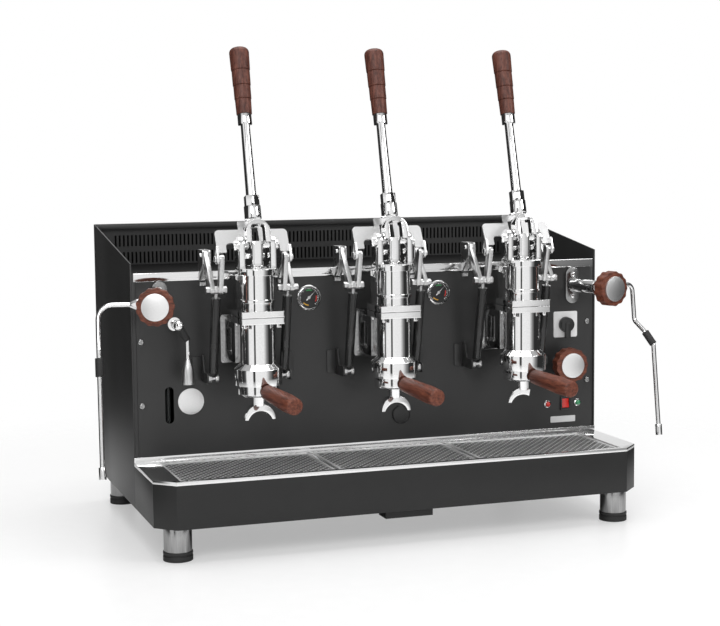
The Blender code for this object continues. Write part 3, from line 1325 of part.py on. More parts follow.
# Gauges, sight glass, switch and lamps on the front panel
GAUGE_X = 0.137
GAUGE_Z = TRAY_HEIGHT + PANEL_SPAN * GAUGE_SHARE
GAUGE_RADIUS = 0.025
GAUGE_BODY_RADIUS = 0.023
GAUGE_BEZEL = 0.0035
GAUGE_PROUD = 0.005
GAUGE_DIAL_DEPTH = 0.0025
GAUGE_BODY_DEPTH = 0.022
NEEDLE_LENGTH = 0.015
NEEDLE_WIDTH = 0.0012
NEEDLE_HUB = 0.003
NEEDLE_THICKNESS = 0.001
NEEDLE_TURN = radians(45)
SIGHT_X = -0.419
SIGHT_LOW_Z = TRAY_HEIGHT + PANEL_SPAN * SIGHT_LOW_SHARE
SIGHT_HIGH_Z = TRAY_HEIGHT + PANEL_SPAN * SIGHT_HIGH_SHARE
SIGHT_WIDTH = 0.013
SIGHT_TUBE_RADIUS = 0.005
SIGHT_SETBACK = 0.011
SIGHT_FITTING_RADIUS = 0.008
SIGHT_FITTING_HEIGHT = 0.012
SELECTOR_X = 0.421
SELECTOR_Z = TRAY_HEIGHT + PANEL_SPAN * SELECTOR_SHARE
SELECTOR_PLATE = 0.054
SELECTOR_PLATE_SHEET = 0.002
SELECTOR_PLATE_CORNER = 0.003
SELECTOR_SHAFT_RADIUS = 0.003
SELECTOR_SHAFT_DEPTH = 0.012
SELECTOR_RADIUS = 0.016
SELECTOR_SKIRT = 0.006
SELECTOR_HEIGHT = 0.018
SELECTOR_GRIP_HALF = 0.0045
LAMP_MIDDLE_X = 0.415
LAMP_SPREAD = 0.0345
LAMP_Z = TRAY_HEIGHT + PANEL_SPAN * LAMP_SHARE
LAMP_RADIUS = 0.008
LAMP_STEM_RADIUS = 0.006
LAMP_STEM_DEPTH = 0.014
LAMP_PROUD = 0.007
ROCKER_X = 0.4216
ROCKER_WIDTH = 0.023
ROCKER_HEIGHT = 0.028
ROCKER_LIP = 0.0015
ROCKER_BEZEL = 0.0034
ROCKER_PROUD = 0.003
ROCKER_DEPTH = 0.016
ROCKER_GAP = 0.0009
ROCKER_PADDLE_DEPTH = 0.003
ROCKER_PADDLE_VALLEY = 0.0018
ROCKER_TILT = radians(7)
SCREW_X = 0.472
SCREW_HIGH_Z = TRAY_HEIGHT + PANEL_SPAN * SCREW_HIGH_SHARE
SCREW_LOW_Z = TRAY_HEIGHT + PANEL_SPAN * SCREW_LOW_SHARE
SCREW_RADIUS = 0.006
SCREW_HEIGHT = 0.003
PLUG_X = 0.055
PLUG_Z = TRAY_HEIGHT + PANEL_SPAN * PLUG_SHARE
PLUG_RADIUS = 0.019
PLUG_HEIGHT = 0.004

# Steam valves, splayed outward, and the wands on their unions
VALVE_X = 0.435
VALVE_DROP = 0.0535
VALVE_Z = DECK_HEIGHT - VALVE_DROP
VALVE_SPLAY = radians(15)
VALVE_FLANGE_RADIUS = 0.015
VALVE_FLANGE_HALF = 0.0225
VALVE_FLANGE_THICKNESS = 0.006
VALVE_BOLT_RADIUS = 0.005
VALVE_BOLT_HEIGHT = 0.0035
VALVE_BODY_LOW = 0.008
VALVE_BODY_RADIUS = 0.014
VALVE_BODY_TOP = 0.080
VALVE_BONNET_RADIUS = 0.0105
VALVE_BONNET_TOP = 0.103
VALVE_STEM_RADIUS = 0.0045
VALVE_STEM_TOP = 0.120
UNION_REACH = 0.065
UNION_RADIUS = 0.010
UNION_LENGTH = 0.034
UNION_NUT_RADIUS = 0.012
UNION_NUT_LENGTH = 0.016
WAND_BEND_REACH = 0.110
WAND_RADIUS = 0.0042
WAND_BEND_RADIUS = 0.014
SLEEVE_RADIUS = 0.0076
TIP_RADIUS = 0.007
TIP_LENGTH = 0.022
LEFT_WAND = ((-0.0045, -0.028, -0.0795), (-0.011, -0.074, -0.3145))
RIGHT_WAND = ((0.001, -0.010, -0.0755), (0.013, -0.034, -0.0975), (0.026, -0.046, -0.1225),
              (0.024, -0.076, -0.3075))
LEFT_SLEEVE_SHARES = (-0.25, 0.08)
KNOB_RADIUS = 0.0345
KNOB_LOBE = 0.001
KNOB_LOBES = 13
KNOB_LOW = 0.108
KNOB_THICKNESS = 0.022
KNOB_EDGE = 0.003
KNOB_CAP_RADIUS = 0.0253
KNOB_CAP_RISE = 0.004
KNOB_SOCKET_DEPTH = 0.0125

# Hot water: its valve on the right, its outlet and swivelling spout on the left
WATER_X = 0.410
WATER_Z = TRAY_HEIGHT + PANEL_SPAN * WATER_SHARE
WATER_KNOB_LOW = 0.035
WATER_BODY_RADIUS = 0.013
WATER_BODY_TOP = 0.030
OUTLET_X = -0.408
OUTLET_Z = TRAY_HEIGHT + PANEL_SPAN * OUTLET_SHARE
OUTLET_FLANGE_RADIUS = 0.013
OUTLET_FLANGE = 0.009
OUTLET_BODY_RADIUS = 0.0075
OUTLET_COLLAR_RADIUS = 0.010
OUTLET_COLLAR_LOW = 0.027
OUTLET_TOP = 0.0357
SPOUT_BALL_RADIUS = 0.010
WATER_SPOUT_X = -0.392
WATER_ELBOW_DROP = 0.028
WATER_ELBOW_Z = OUTLET_Z - WATER_ELBOW_DROP
WATER_TUBE_RADIUS = 0.0045
WATER_SLEEVE_RADIUS = 0.0065
NOZZLE_TOP_DROP = 0.063
NOZZLE_TOP_Z = OUTLET_Z - NOZZLE_TOP_DROP
NOZZLE_SHOULDER_DROP = 0.087
NOZZLE_SHOULDER_Z = OUTLET_Z - NOZZLE_SHOULDER_DROP
NOZZLE_LOW_DROP = 0.112
NOZZLE_LOW_Z = OUTLET_Z - NOZZLE_LOW_DROP
NOZZLE_RADIUS = 0.0115
NOZZLE_BORE = 0.0085
NOZZLE_BORE_DEPTH = 0.012


def gauge(side):
    """A gauge's case with its bezel, sunk dial and needle."""
    lip = GAUGE_RADIUS - GAUGE_BEZEL
    dial = GAUGE_PROUD - GAUGE_DIAL_DEPTH
    profile = [(0, dial), (lip, dial), (lip, GAUGE_PROUD), (GAUGE_RADIUS, GAUGE_PROUD / 2),
               (GAUGE_RADIUS, -SEAT), (GAUGE_BODY_RADIUS, -SEAT), (GAUGE_BODY_RADIUS, -GAUGE_BODY_DEPTH),
               (0, -GAUGE_BODY_DEPTH)]
    body = turned(profile, case(side * GAUGE_X, 0, GAUGE_Z), -Y_AXIS)
    hub = rod(case(side * GAUGE_X, -dial + SEAT, GAUGE_Z),
              case(side * GAUGE_X, -dial - NEEDLE_THICKNESS, GAUGE_Z), NEEDLE_HUB, SMALL)
    across = X_AXIS * cos(NEEDLE_TURN) + Z_AXIS * sin(NEEDLE_TURN)
    up = Z_AXIS * cos(NEEDLE_TURN) - X_AXIS * sin(NEEDLE_TURN)
    frame = frame_at(case(side * GAUGE_X, -dial, GAUGE_Z), across, up)
    tail = -NEEDLE_LENGTH / 2
    pointer = plate([(tail, -NEEDLE_WIDTH), (NEEDLE_LENGTH, 0), (tail, NEEDLE_WIDTH)],
                    NEEDLE_THICKNESS, frame)
    return fused(body, hub, pointer)


def sight_glass():
    """The glass behind the slot, held by a fitting at each end."""
    y = SHEET + SIGHT_SETBACK
    pieces = []
    for z, way in ((SIGHT_LOW_Z, -1), (SIGHT_HIGH_Z, 1)):
        near = z + way * SIGHT_WIDTH / 2
        far = near + way * SIGHT_FITTING_HEIGHT
        barrel = rod(case(SIGHT_X, y, near), case(SIGHT_X, y, far), SIGHT_FITTING_RADIUS, SMALL)
        block = bar(SIGHT_X - SIGHT_TUBE_RADIUS, SIGHT_X + SIGHT_TUBE_RADIUS, SHEET / 2, y,
                    min(near, far) + SEAT, max(near, far) - SEAT)
        pieces += [barrel, block]
    low = SIGHT_LOW_Z - SIGHT_WIDTH
    high = SIGHT_HIGH_Z + SIGHT_WIDTH
    pieces.append(rod(case(SIGHT_X, y, low), case(SIGHT_X, y, high), SIGHT_TUBE_RADIUS, SMALL))
    return pieces


def switch_plate():
    """The selector's square plate and the rocker switch's housing."""
    half = SELECTOR_PLATE / 2
    hole = circle((SELECTOR_X, SELECTOR_Z), bore_for(SELECTOR_SHAFT_RADIUS, SMALL), SMALL)
    square = front_plate(rounded(rectangle(SELECTOR_X - half, SELECTOR_X + half, SELECTOR_Z - half,
                                           SELECTOR_Z + half), SELECTOR_PLATE_CORNER, 2),
                         -SEAT - SELECTOR_PLATE_SHEET, SHEET / 2, [hole])
    half_w = ROCKER_WIDTH / 2
    half_h = ROCKER_HEIGHT / 2
    lip = ROCKER_LIP
    bezel = bar(ROCKER_X - half_w, ROCKER_X + half_w, -SEAT - ROCKER_PROUD, SHEET / 2,
                LAMP_Z - half_h, LAMP_Z + half_h)
    body = bar(ROCKER_X - half_w + lip, ROCKER_X + half_w - lip, -ROCKER_PROUD / 2, ROCKER_DEPTH,
               LAMP_Z - half_h + lip, LAMP_Z + half_h - lip)
    wall = ROCKER_BEZEL
    hollow = bar(ROCKER_X - half_w + wall, ROCKER_X + half_w - wall, -ROCKER_PROUD - OVERRUN,
                 ROCKER_DEPTH - OVERRUN, LAMP_Z - half_h + wall, LAMP_Z + half_h - wall)
    return [square, cut(fused(bezel, body), hollow)]


def rocker_paddle():
    """The paddle, tipped at rest, with a valley between its two raised ends."""
    half_h = ROCKER_HEIGHT / 2 - ROCKER_BEZEL - ROCKER_GAP
    half_w = ROCKER_WIDTH / 2 - ROCKER_BEZEL - SEAT
    deep = ROCKER_PADDLE_DEPTH
    shape = [(deep, -half_h), (-deep, -half_h), (-ROCKER_PADDLE_VALLEY, 0), (-deep, half_h), (deep, half_h)]
    tip = -ROCKER_TILT
    outline = [(y * cos(tip) - z * sin(tip), LAMP_Z + y * sin(tip) + z * cos(tip)) for y, z in shape]
    return side_plate(outline, ROCKER_X - half_w, ROCKER_X + half_w)


def selector_knob():
    """The selector with its skirt, raised grip and shaft."""
    base = SEAT + SELECTOR_PLATE_SHEET + SEAT
    inner = SELECTOR_RADIUS - SELECTOR_GRIP_HALF / 2
    profile = [(0, base + SELECTOR_SKIRT), (inner, base + SELECTOR_SKIRT), (SELECTOR_RADIUS, base),
               (SELECTOR_SHAFT_RADIUS, base), (SELECTOR_SHAFT_RADIUS, -SELECTOR_SHAFT_DEPTH),
               (0, -SELECTOR_SHAFT_DEPTH)]
    disc = turned(profile, case(SELECTOR_X, 0, SELECTOR_Z), -Y_AXIS)
    grip = front_plate(rounded(rectangle(SELECTOR_X - SELECTOR_GRIP_HALF, SELECTOR_X + SELECTOR_GRIP_HALF,
                                         SELECTOR_Z - inner, SELECTOR_Z + inner), SELECTOR_GRIP_HALF / 2, 2),
                       -base - SELECTOR_HEIGHT, -base - SELECTOR_SKIRT / 2)
    return fused(disc, grip)


def lamp(side):
    profile = [(0, LAMP_PROUD), (LAMP_RADIUS / 2, LAMP_PROUD), (LAMP_RADIUS, LAMP_PROUD / 2),
               (LAMP_RADIUS, -SEAT), (LAMP_STEM_RADIUS, -SEAT), (LAMP_STEM_RADIUS, -LAMP_STEM_DEPTH),
               (0, -LAMP_STEM_DEPTH)]
    return turned(profile, case(LAMP_MIDDLE_X + side * LAMP_SPREAD, 0, LAMP_Z), -Y_AXIS, SMALL)


def panel_button(x, z, radius, height, sides):
    profile = [(0, height), (radius - height / 2, height), (radius, height / 2), (radius, -SEAT), (0, -SEAT)]
    return turned(profile, case(x, 0, z), -Y_AXIS, sides)


def panel_fixings():
    pieces = [panel_button(PLUG_X, PLUG_Z, PLUG_RADIUS, PLUG_HEIGHT, ROUND)]
    for side in (-1, 1):
        for z in (SCREW_LOW_Z, SCREW_HIGH_Z):
            pieces.append(panel_button(side * SCREW_X, z, SCREW_RADIUS, SCREW_HEIGHT, SMALL))
    return pieces


def valve_axes(side):
    """A steam valve's foot, its splayed axis and the direction of its union."""
    foot = case(side * VALVE_X, 0, VALVE_Z)
    out = Vector((side * sin(VALVE_SPLAY), -cos(VALVE_SPLAY), 0))
    branch = Vector((side * cos(VALVE_SPLAY), sin(VALVE_SPLAY), 0))
    return foot, out, branch


def steam_valve(side):
    """Flange, body, bonnet, stem and the branch that carries the wand."""
    foot, out, branch = valve_axes(side)
    x = side * VALVE_X
    flange = front_plate(strap((x, VALVE_Z - VALVE_FLANGE_HALF), (x, VALVE_Z + VALVE_FLANGE_HALF),
                               VALVE_FLANGE_RADIUS, MIDDLE), -VALVE_FLANGE_THICKNESS, SHEET / 2)
    bolts = []
    for way in (-1, 1):
        z = VALVE_Z + way * VALVE_FLANGE_HALF
        bolts.append(rod(case(x, -VALVE_FLANGE_THICKNESS / 2, z),
                         case(x, -VALVE_FLANGE_THICKNESS - VALVE_BOLT_HEIGHT, z), VALVE_BOLT_RADIUS,
                         HEXAGON))
    profile = [(0, VALVE_STEM_TOP), (VALVE_STEM_RADIUS, VALVE_STEM_TOP),
               (VALVE_STEM_RADIUS, VALVE_BONNET_TOP), (VALVE_BONNET_RADIUS, VALVE_BONNET_TOP),
               (VALVE_BONNET_RADIUS, VALVE_BODY_TOP), (VALVE_BODY_RADIUS, VALVE_BODY_TOP),
               (VALVE_BODY_RADIUS, VALVE_BODY_LOW), (0, VALVE_BODY_LOW)]
    body = turned(profile, foot, out, MIDDLE)
    start = foot + out * UNION_REACH
    arm = rod(start, start + branch * UNION_LENGTH, UNION_RADIUS, SMALL)
    return fused(flange, body, arm, *bolts)


def knob(foot, out, low, socket_radius):
    """A lobed hand wheel with its raised cap and the socket for the stem."""
    steps = KNOB_LOBES * 2
    outline = []
    for k in range(steps):
        angle = 2 * pi * k / steps
        radius = KNOB_RADIUS + KNOB_LOBE * cos(KNOB_LOBES * angle)
        outline.append((radius * cos(angle), radius * sin(angle)))
    across = Z_AXIS.cross(out).normalized()
    wheel = plate(outline, KNOB_THICKNESS, frame_at(foot + out * (low + KNOB_THICKNESS / 2), across, Z_AXIS))
    wheel = softened(wheel, KNOB_EDGE)
    top = low + KNOB_THICKNESS + KNOB_CAP_RISE
    cap = rod(foot + out * (top - 2 * KNOB_CAP_RISE), foot + out * top, KNOB_CAP_RADIUS, ROUND)
    socket = rod(foot + out * (low - OVERRUN), foot + out * (low + KNOB_SOCKET_DEPTH), socket_radius, SMALL)
    return cut(fused(wheel, cap), socket)


def wand(side, steps, sleeve):
    """Union nut, bent tube, rubber grip and nozzle, all turning on the union's axis."""
    foot, out, branch = valve_axes(side)
    start = foot + out * UNION_REACH
    nut_low = start + branch * (UNION_LENGTH + SEAT)
    nut_top = nut_low + branch * UNION_NUT_LENGTH
    bend = start + branch * WAND_BEND_REACH
    points = [nut_top - branch * OVERRUN, bend] + [bend + Vector(step) for step in steps]
    body = tube(bent(points, WAND_BEND_RADIUS), WAND_RADIUS)
    nut = rod(nut_low, nut_top, UNION_NUT_RADIUS, SMALL, WAND_RADIUS + SEAT * 2)
    grip = rod(*sleeve(points), SLEEVE_RADIUS, SMALL)
    last = (points[-1] - points[-2]).normalized()
    nozzle = rod(points[-1] - last * TIP_LENGTH, points[-1] + last * SEAT, TIP_RADIUS, SMALL)
    return fused(body, nut, grip, nozzle)


def left_sleeve(points):
    """The grip spans the kink, from a little above it to a little below."""
    kink = points[2]
    above = (points[1] - kink) * -LEFT_SLEEVE_SHARES[0]
    below = (points[3] - kink) * LEFT_SLEEVE_SHARES[1]
    return kink + above, kink + below


def right_sleeve(points):
    return points[3], points[4]


def water_valve():
    profile = [(0, WATER_KNOB_LOW + KNOB_SOCKET_DEPTH - SEAT),
               (VALVE_STEM_RADIUS, WATER_KNOB_LOW + KNOB_SOCKET_DEPTH - SEAT),
               (VALVE_STEM_RADIUS, WATER_BODY_TOP), (WATER_BODY_RADIUS, WATER_BODY_TOP),
               (WATER_BODY_RADIUS, -SEAT), (0, -SEAT)]
    return turned(profile, case(WATER_X, 0, WATER_Z), -Y_AXIS, MIDDLE)


def water_outlet():
    profile = [(0, OUTLET_TOP), (OUTLET_COLLAR_RADIUS, OUTLET_TOP),
               (OUTLET_COLLAR_RADIUS, OUTLET_COLLAR_LOW), (OUTLET_BODY_RADIUS, OUTLET_COLLAR_LOW),
               (OUTLET_BODY_RADIUS, OUTLET_FLANGE),
               (OUTLET_FLANGE_RADIUS, OUTLET_FLANGE), (OUTLET_FLANGE_RADIUS, -SEAT), (0, -SEAT)]
    return turned(profile, case(OUTLET_X, 0, OUTLET_Z), -Y_AXIS, MIDDLE)


def water_spout():
    """The swivel ball, the sleeved elbow, the tube and its bell-shaped nozzle."""
    y = -OUTLET_TOP - SEAT - SPOUT_BALL_RADIUS
    ball_centre = case(OUTLET_X, y, OUTLET_Z)
    steps = 6
    ball = turned([(SPOUT_BALL_RADIUS * sin(pi * k / steps), SPOUT_BALL_RADIUS * cos(pi * k / steps))
                   for k in range(steps + 1)], ball_centre, Y_AXIS, SMALL)
    elbow = case(WATER_SPOUT_X, y, WATER_ELBOW_Z)
    top = case(WATER_SPOUT_X, y, NOZZLE_TOP_Z)
    sleeve = rod(ball_centre, elbow, WATER_SLEEVE_RADIUS, SMALL)
    line = rod(elbow + Z_AXIS * WATER_TUBE_RADIUS, top - Z_AXIS * OVERRUN, WATER_TUBE_RADIUS, SMALL)
    base = NOZZLE_LOW_Z + NOZZLE_BORE_DEPTH
    profile = [(0, NOZZLE_TOP_Z), (WATER_TUBE_RADIUS + SEAT, NOZZLE_TOP_Z),
               (NOZZLE_RADIUS, NOZZLE_SHOULDER_Z), (NOZZLE_RADIUS, NOZZLE_LOW_Z),
               (NOZZLE_BORE, NOZZLE_LOW_Z), (NOZZLE_BORE, base), (0, base)]
    nozzle = turned(profile, case(WATER_SPOUT_X, y, 0), sides=MIDDLE)
    return fused(sleeve, ball, line, nozzle)


def panel_fittings():
    """What is fixed to the front panel and doesn't move."""
    return [gauge(-1), gauge(1), *sight_glass(), *switch_plate(), lamp(-1), lamp(1), *panel_fixings()]


def panel_valves():
    return [steam_valve(-1), steam_valve(1), water_valve(), water_outlet()]


def switches():
    node("rocker_switch", RED_LENS, rocker_paddle(), pivot=case(ROCKER_X, 0, LAMP_Z))
    node("selector_knob", BLACK_PLASTIC, selector_knob(), pivot=case(SELECTOR_X, 0, SELECTOR_Z))


def steam_and_water():
    socket = bore_for(VALVE_STEM_RADIUS, SMALL)
    layout = (("left", -1, LEFT_WAND, left_sleeve), ("right", 1, RIGHT_WAND, right_sleeve))
    for name, side, steps, sleeve in layout:
        foot, out, _ = valve_axes(side)
        node("steam_knob_" + name, WALNUT, knob(foot, out, KNOB_LOW, socket), pivot=foot)
        node("steam_wand_" + name, POLISHED, wand(side, steps, sleeve), pivot=foot + out * UNION_REACH)
    foot = case(WATER_X, 0, WATER_Z)
    node("water_knob", WALNUT, knob(foot, -Y_AXIS, WATER_KNOB_LOW, socket), pivot=foot)
    node("water_spout", POLISHED, water_spout(), pivot=case(OUTLET_X, 0, OUTLET_Z))


def main():
    clear_scene()
    make_collections()
    casing()
    drip_tray()
    groups()
    switches()
    steam_and_water()


main()
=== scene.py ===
"""The looks of a wide lever espresso machine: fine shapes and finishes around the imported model.

Sizes are in metres. Most places are measured from the front panel's face and the casing's bottom
edge, which is what case() turns into the frame's own coordinates. Sizes that several functions
share stand at the head of each section, and the others at the head of their function.
"""
from math import asin, atan2, cos, pi, radians, sin
import bmesh
import bpy
from mathutils import Matrix, Vector

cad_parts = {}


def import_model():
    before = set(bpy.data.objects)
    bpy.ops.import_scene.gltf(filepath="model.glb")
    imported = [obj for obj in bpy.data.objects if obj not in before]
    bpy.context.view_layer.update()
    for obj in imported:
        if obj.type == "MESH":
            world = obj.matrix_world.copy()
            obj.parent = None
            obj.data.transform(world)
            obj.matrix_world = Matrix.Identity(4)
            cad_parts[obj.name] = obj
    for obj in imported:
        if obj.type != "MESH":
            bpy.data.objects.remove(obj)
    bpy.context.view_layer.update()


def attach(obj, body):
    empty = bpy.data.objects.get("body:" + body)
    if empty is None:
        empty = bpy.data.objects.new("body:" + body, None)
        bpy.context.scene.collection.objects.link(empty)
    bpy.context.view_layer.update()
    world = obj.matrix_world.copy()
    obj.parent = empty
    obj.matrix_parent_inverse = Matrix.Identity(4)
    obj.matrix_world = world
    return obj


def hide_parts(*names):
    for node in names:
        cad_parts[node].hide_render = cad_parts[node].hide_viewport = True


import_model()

# Driving dimensions
BODY_WIDTH = 0.980
BODY_DEPTH = 0.397
FRONT_HEIGHT = 0.470
REAR_HEIGHT = 0.530
DECK_HEIGHT = 0.451
FOOT_HEIGHT = 0.063
TRAY_REACH = 0.210
TRAY_HEIGHT = 0.0884
GROUP_PITCH = 0.2722
GROUP_REACH = 0.113
PANEL_Y = -0.050

# Gaps, sheets and how finely round things are made
SEAT = 0.0003
RUNNING = 0.0004
OVERRUN = 0.004
WELD = 0.00001
SHEET = 0.002
SIDE_SHEET = 0.003
EDGE = 0.0005
ROUND = 56
MIDDLE = 40
SMALL = 24
HEXAGON = 6
CORNER_STEPS = 5
SHARP_ANGLE = radians(32)
NEARLY_STRAIGHT = 0.999
SIDES = (-1, 1)
X_AXIS = Vector((1, 0, 0))
Y_AXIS = Vector((0, 1, 0))
Z_AXIS = Vector((0, 0, 1))

# Depths of the fine relief on coats, wood and bare metal
COAT_RELIEF = 0.0002
METAL_RELIEF = 0.00004


# Finishes


def feed(tree, made, inputs):
    """Give a node its inputs, each a socket to link from or a plain value. Its outputs come back."""
    for key, value in inputs.items():
        if isinstance(value, bpy.types.NodeSocket):
            tree.links.new(value, made.inputs[key])
        else:
            made.inputs[key].default_value = value
    return made.outputs


def node(tree, kind, inputs=None, **settings):
    """A new shader node with its settings and inputs. Its outputs come back."""
    made = tree.nodes.new("ShaderNode" + kind)
    for key, value in settings.items():
        setattr(made, key, value)
    return feed(tree, made, inputs or {})


def material(name):
    made = bpy.data.materials.new(name)
    made.use_nodes = True
    return made, made.node_tree, made.node_tree.nodes["Principled BSDF"]


def tone(colour):
    """A colour with its alpha. A single number stands for a grey."""
    return (*colour, 1) if isinstance(colour, tuple) else (colour, colour, colour, 1)


def spatial(tree, scale):
    """The object's own coordinates, scaled along each axis."""
    place = node(tree, "TexCoord")["Object"]
    return node(tree, "Mapping", {"Vector": place, "Scale": scale})["Vector"]


def noise(tree, scale, stretch=(1, 1, 1), detail=3.0, rough=0.55, distortion=0.0):
    """Noise over the object's own coordinates, drawn out along any axis with a small stretch."""
    return node(tree, "TexNoise", {"Vector": spatial(tree, stretch), "Scale": scale, "Detail": detail,
                                   "Roughness": rough, "Distortion": distortion})["Fac"]


def ramp(tree, source, *stops):
    """A colour ramp. Each stop is (place, colour)."""
    made = tree.nodes.new("ShaderNodeValToRGB")
    elements = made.color_ramp.elements
    for element, (place, colour) in zip(elements, (stops[0], stops[-1])):
        element.position, element.color = place, tone(colour)
    for place, colour in stops[1:-1]:
        elements.new(place).color = tone(colour)
    return feed(tree, made, {"Fac": source})["Color"]


def spread(tree, source, low, high):
    """The 0 to 1 source drawn out between two values."""
    return node(tree, "MapRange", {"Value": source, "To Min": low, "To Max": high})["Result"]


def mix(tree, factor, a, b, blend="MIX"):
    return node(tree, "Mix", {"Factor": factor, "A": a, "B": b}, data_type="RGBA",
                blend_type=blend)["Result"]


def surface(tree, shader, colour, rough, grain, bump, depth, plain):
    """Feed the shader: colour, roughness, fine relief from the grain, and its plain values."""
    relief = node(tree, "Bump", {"Strength": bump, "Distance": depth, "Height": grain})["Normal"]
    feed(tree, shader, {"Base Color": colour, "Roughness": rough, "Normal": relief, **plain})


def coated(name, dark, light, rough, scale, bump, shine=0.5, coat=0.0):
    """Paint, plastic or rubber with a fine surface and a little unevenness in its colour."""
    made, tree, shader = material(name)
    fine, broad = noise(tree, scale, detail=2.0), noise(tree, 9.0, detail=4.0)
    surface(tree, shader, ramp(tree, broad, (0.3, dark), (0.7, light)), spread(tree, fine, *rough),
            fine, bump, COAT_RELIEF, {"Coat Weight": coat, "Specular IOR Level": shine})
    return made


def metal(name, dark, light, rough, scale, bump, stretch=(1, 1, 1)):
    """Bare metal whose polish or brushing runs along the axis with the small stretch."""
    made, tree, shader = material(name)
    fine, broad = noise(tree, scale, stretch, detail=4.0), noise(tree, 14.0, detail=3.0)
    surface(tree, shader, ramp(tree, fine, (0.35, dark), (0.65, light)), spread(tree, broad, *rough),
            fine, bump, METAL_RELIEF, {"Metallic": 1.0})
    return made


def timber(name, stretch, dark, middle, light):
    """Open-pored hardwood with its grain along the axis with the small stretch."""
    made, tree, shader = material(name)
    bands = noise(tree, 190.0, stretch, detail=8.0, rough=0.65, distortion=0.4)
    pores = noise(tree, 620.0, stretch, detail=3.0, rough=0.7)
    colour = mix(tree, 0.75, ramp(tree, bands, (0.30, dark), (0.5, middle), (0.72, light)),
                 ramp(tree, pores, (0.36, 0.35), (0.48, 1.0)), "MULTIPLY")
    surface(tree, shader, colour, spread(tree, pores, 0.62, 0.40), pores, 0.35, COAT_RELIEF,
            {"Specular IOR Level": 0.35})
    return made


def clear(name, colour, rough):
    made, tree, shader = material(name)
    feed(tree, shader, {"Roughness": spread(tree, noise(tree, 60.0), *rough), "Base Color": tone(colour),
                        "Transmission Weight": 0.9, "IOR": 1.3})
    return made


# Rows: material, dark and light tone, roughness, grain scale, bump, then shine and clear coat
COATS = {
    "paint": ("black_powder_coat", 0.018, 0.022, (0.34, 0.44), 1400, 0.10),
    "paint_gloss": ("black_enamel", 0.012, 0.018, (0.16, 0.26), 600, 0.04),
    # The drip tray's copy of the black paint, darker and with less shine than the casing's: painted shade
    "shaded_tray_paint": ("black_tray_painted_shade", 0.010, 0.013, (0.38, 0.48), 1400, 0.10, 0.36),
    # The cup shelf's copy of the black paint, near-black and with little shine: painted shade for the shelf
    # sunk inside the casing's rims
    "deck": ("black_shelf_painted_shade", 0.003, 0.005, (0.50, 0.60), 1200, 0.10, 0.08),
    # The sheet behind the rear slots: near-black and rough, painted shade for the casing's dark inside
    "gap": ("rear_slots_painted_shade", 0.001, 0.003, (0.8, 0.95), 300, 0.05, 0.05),
    "rubber": ("black_rubber", 0.010, 0.016, (0.55, 0.72), 900, 0.25),
    "plastic": ("black_plastic", 0.012, 0.016, (0.28, 0.40), 1800, 0.08),
    "dial": ("dial_black", 0.008, 0.012, (0.40, 0.55), 700, 0.05),
    "white": ("white_print", 0.72, 0.80, (0.40, 0.52), 700, 0.05),
    "plate": ("pale_plate", 0.60, 0.68, (0.34, 0.46), 900, 0.06),
    "green": ("green_print", (0.03, 0.26, 0.07), (0.04, 0.32, 0.09), (0.4, 0.5), 700, 0.05),
    "red": ("red_print", (0.48, 0.020, 0.015), (0.56, 0.030, 0.020), (0.4, 0.5), 700, 0.05),
    "amber": ("amber_print", (0.62, 0.32, 0.02), (0.70, 0.38, 0.03), (0.4, 0.5), 700, 0.05),
    "red_lens": ("red_lens", (0.50, 0.012, 0.008), (0.62, 0.020, 0.012), (0.10, 0.18), 300, 0.03,
                 0.5, 0.5),
    "green_lens": ("green_lens", (0.02, 0.20, 0.08), (0.03, 0.28, 0.11), (0.10, 0.18), 300, 0.03,
                   0.5, 0.5),
}
# Rows: material, dark and light tone, roughness, grain scale, bump, then the grain's stretch
METALS = {
    "chrome": ("polished_chrome", 0.80, 0.86, (0.03, 0.09), 500, 0.02),
    "rim": ("polished_stainless", 0.74, 0.82, (0.06, 0.13), 700, 0.04, (0.03, 1, 1)),
    "steel": ("brushed_steel", 0.50, 0.66, (0.24, 0.36), 900, 0.12, (1, 1, 0.04)),
    "steel_across": ("cross_brushed_steel", 0.48, 0.64, (0.22, 0.34), 900, 0.12, (0.04, 1, 1)),
    "cap_disc": ("satin_disc", 0.76, 0.82, (0.34, 0.38), 900, 0.03),
    "mesh": ("drip_grate_steel", 0.78, 0.90, (0.42, 0.56), 600, 0.10),
    "leg_steel": ("turned_steel", 0.28, 0.37, (0.13, 0.20), 900, 0.06, (1, 1, 0.03)),
    "wand_steel": ("satin_tube", 0.72, 0.80, (0.14, 0.22), 700, 0.03, (1, 1, 0.05)),
    "cast": ("cast_chrome", 0.26, 0.34, (0.12, 0.22), 240, 0.08),
    "copper": ("plain_copper", (0.60, 0.30, 0.18), (0.74, 0.40, 0.26), (0.24, 0.40), 90, 0.08),
}
# Rows: material, the grain's stretch, and the dark, middle and light tone
WOOD = ((0.042, 0.012, 0.008), (0.104, 0.034, 0.023), (0.195, 0.073, 0.050))
DARK_WOOD = ((0.038, 0.010, 0.005), (0.130, 0.036, 0.020), (0.235, 0.077, 0.042))
WOODS = {
    "wood_up": ("hardwood_grip", (1, 1, 0.06), *WOOD),
    "wood_out": ("hardwood_handle", (1, 0.06, 1), *DARK_WOOD),
    "wood_across": ("hardwood_wheel", (0.10, 1, 1), *DARK_WOOD),
}
LOOKS = {look: make(*row) for make, rows in ((coated, COATS), (metal, METALS), (timber, WOODS))
         for look, row in rows.items()}
LOOKS["glass"] = clear("smoked_glass", (0.16, 0.17, 0.17), (0.02, 0.06))


# Shapes


def case(x, y, z):
    """A point measured from the front panel's face and the casing's bottom edge."""
    return Vector((x, PANEL_Y + y, FOOT_HEIGHT + z))


def linked(data, name="piece"):
    piece = bpy.data.objects.new(name, data)
    bpy.context.scene.collection.objects.link(piece)
    return piece


def discard(*pieces):
    for piece in pieces:
        bpy.data.objects.remove(piece, do_unlink=True)


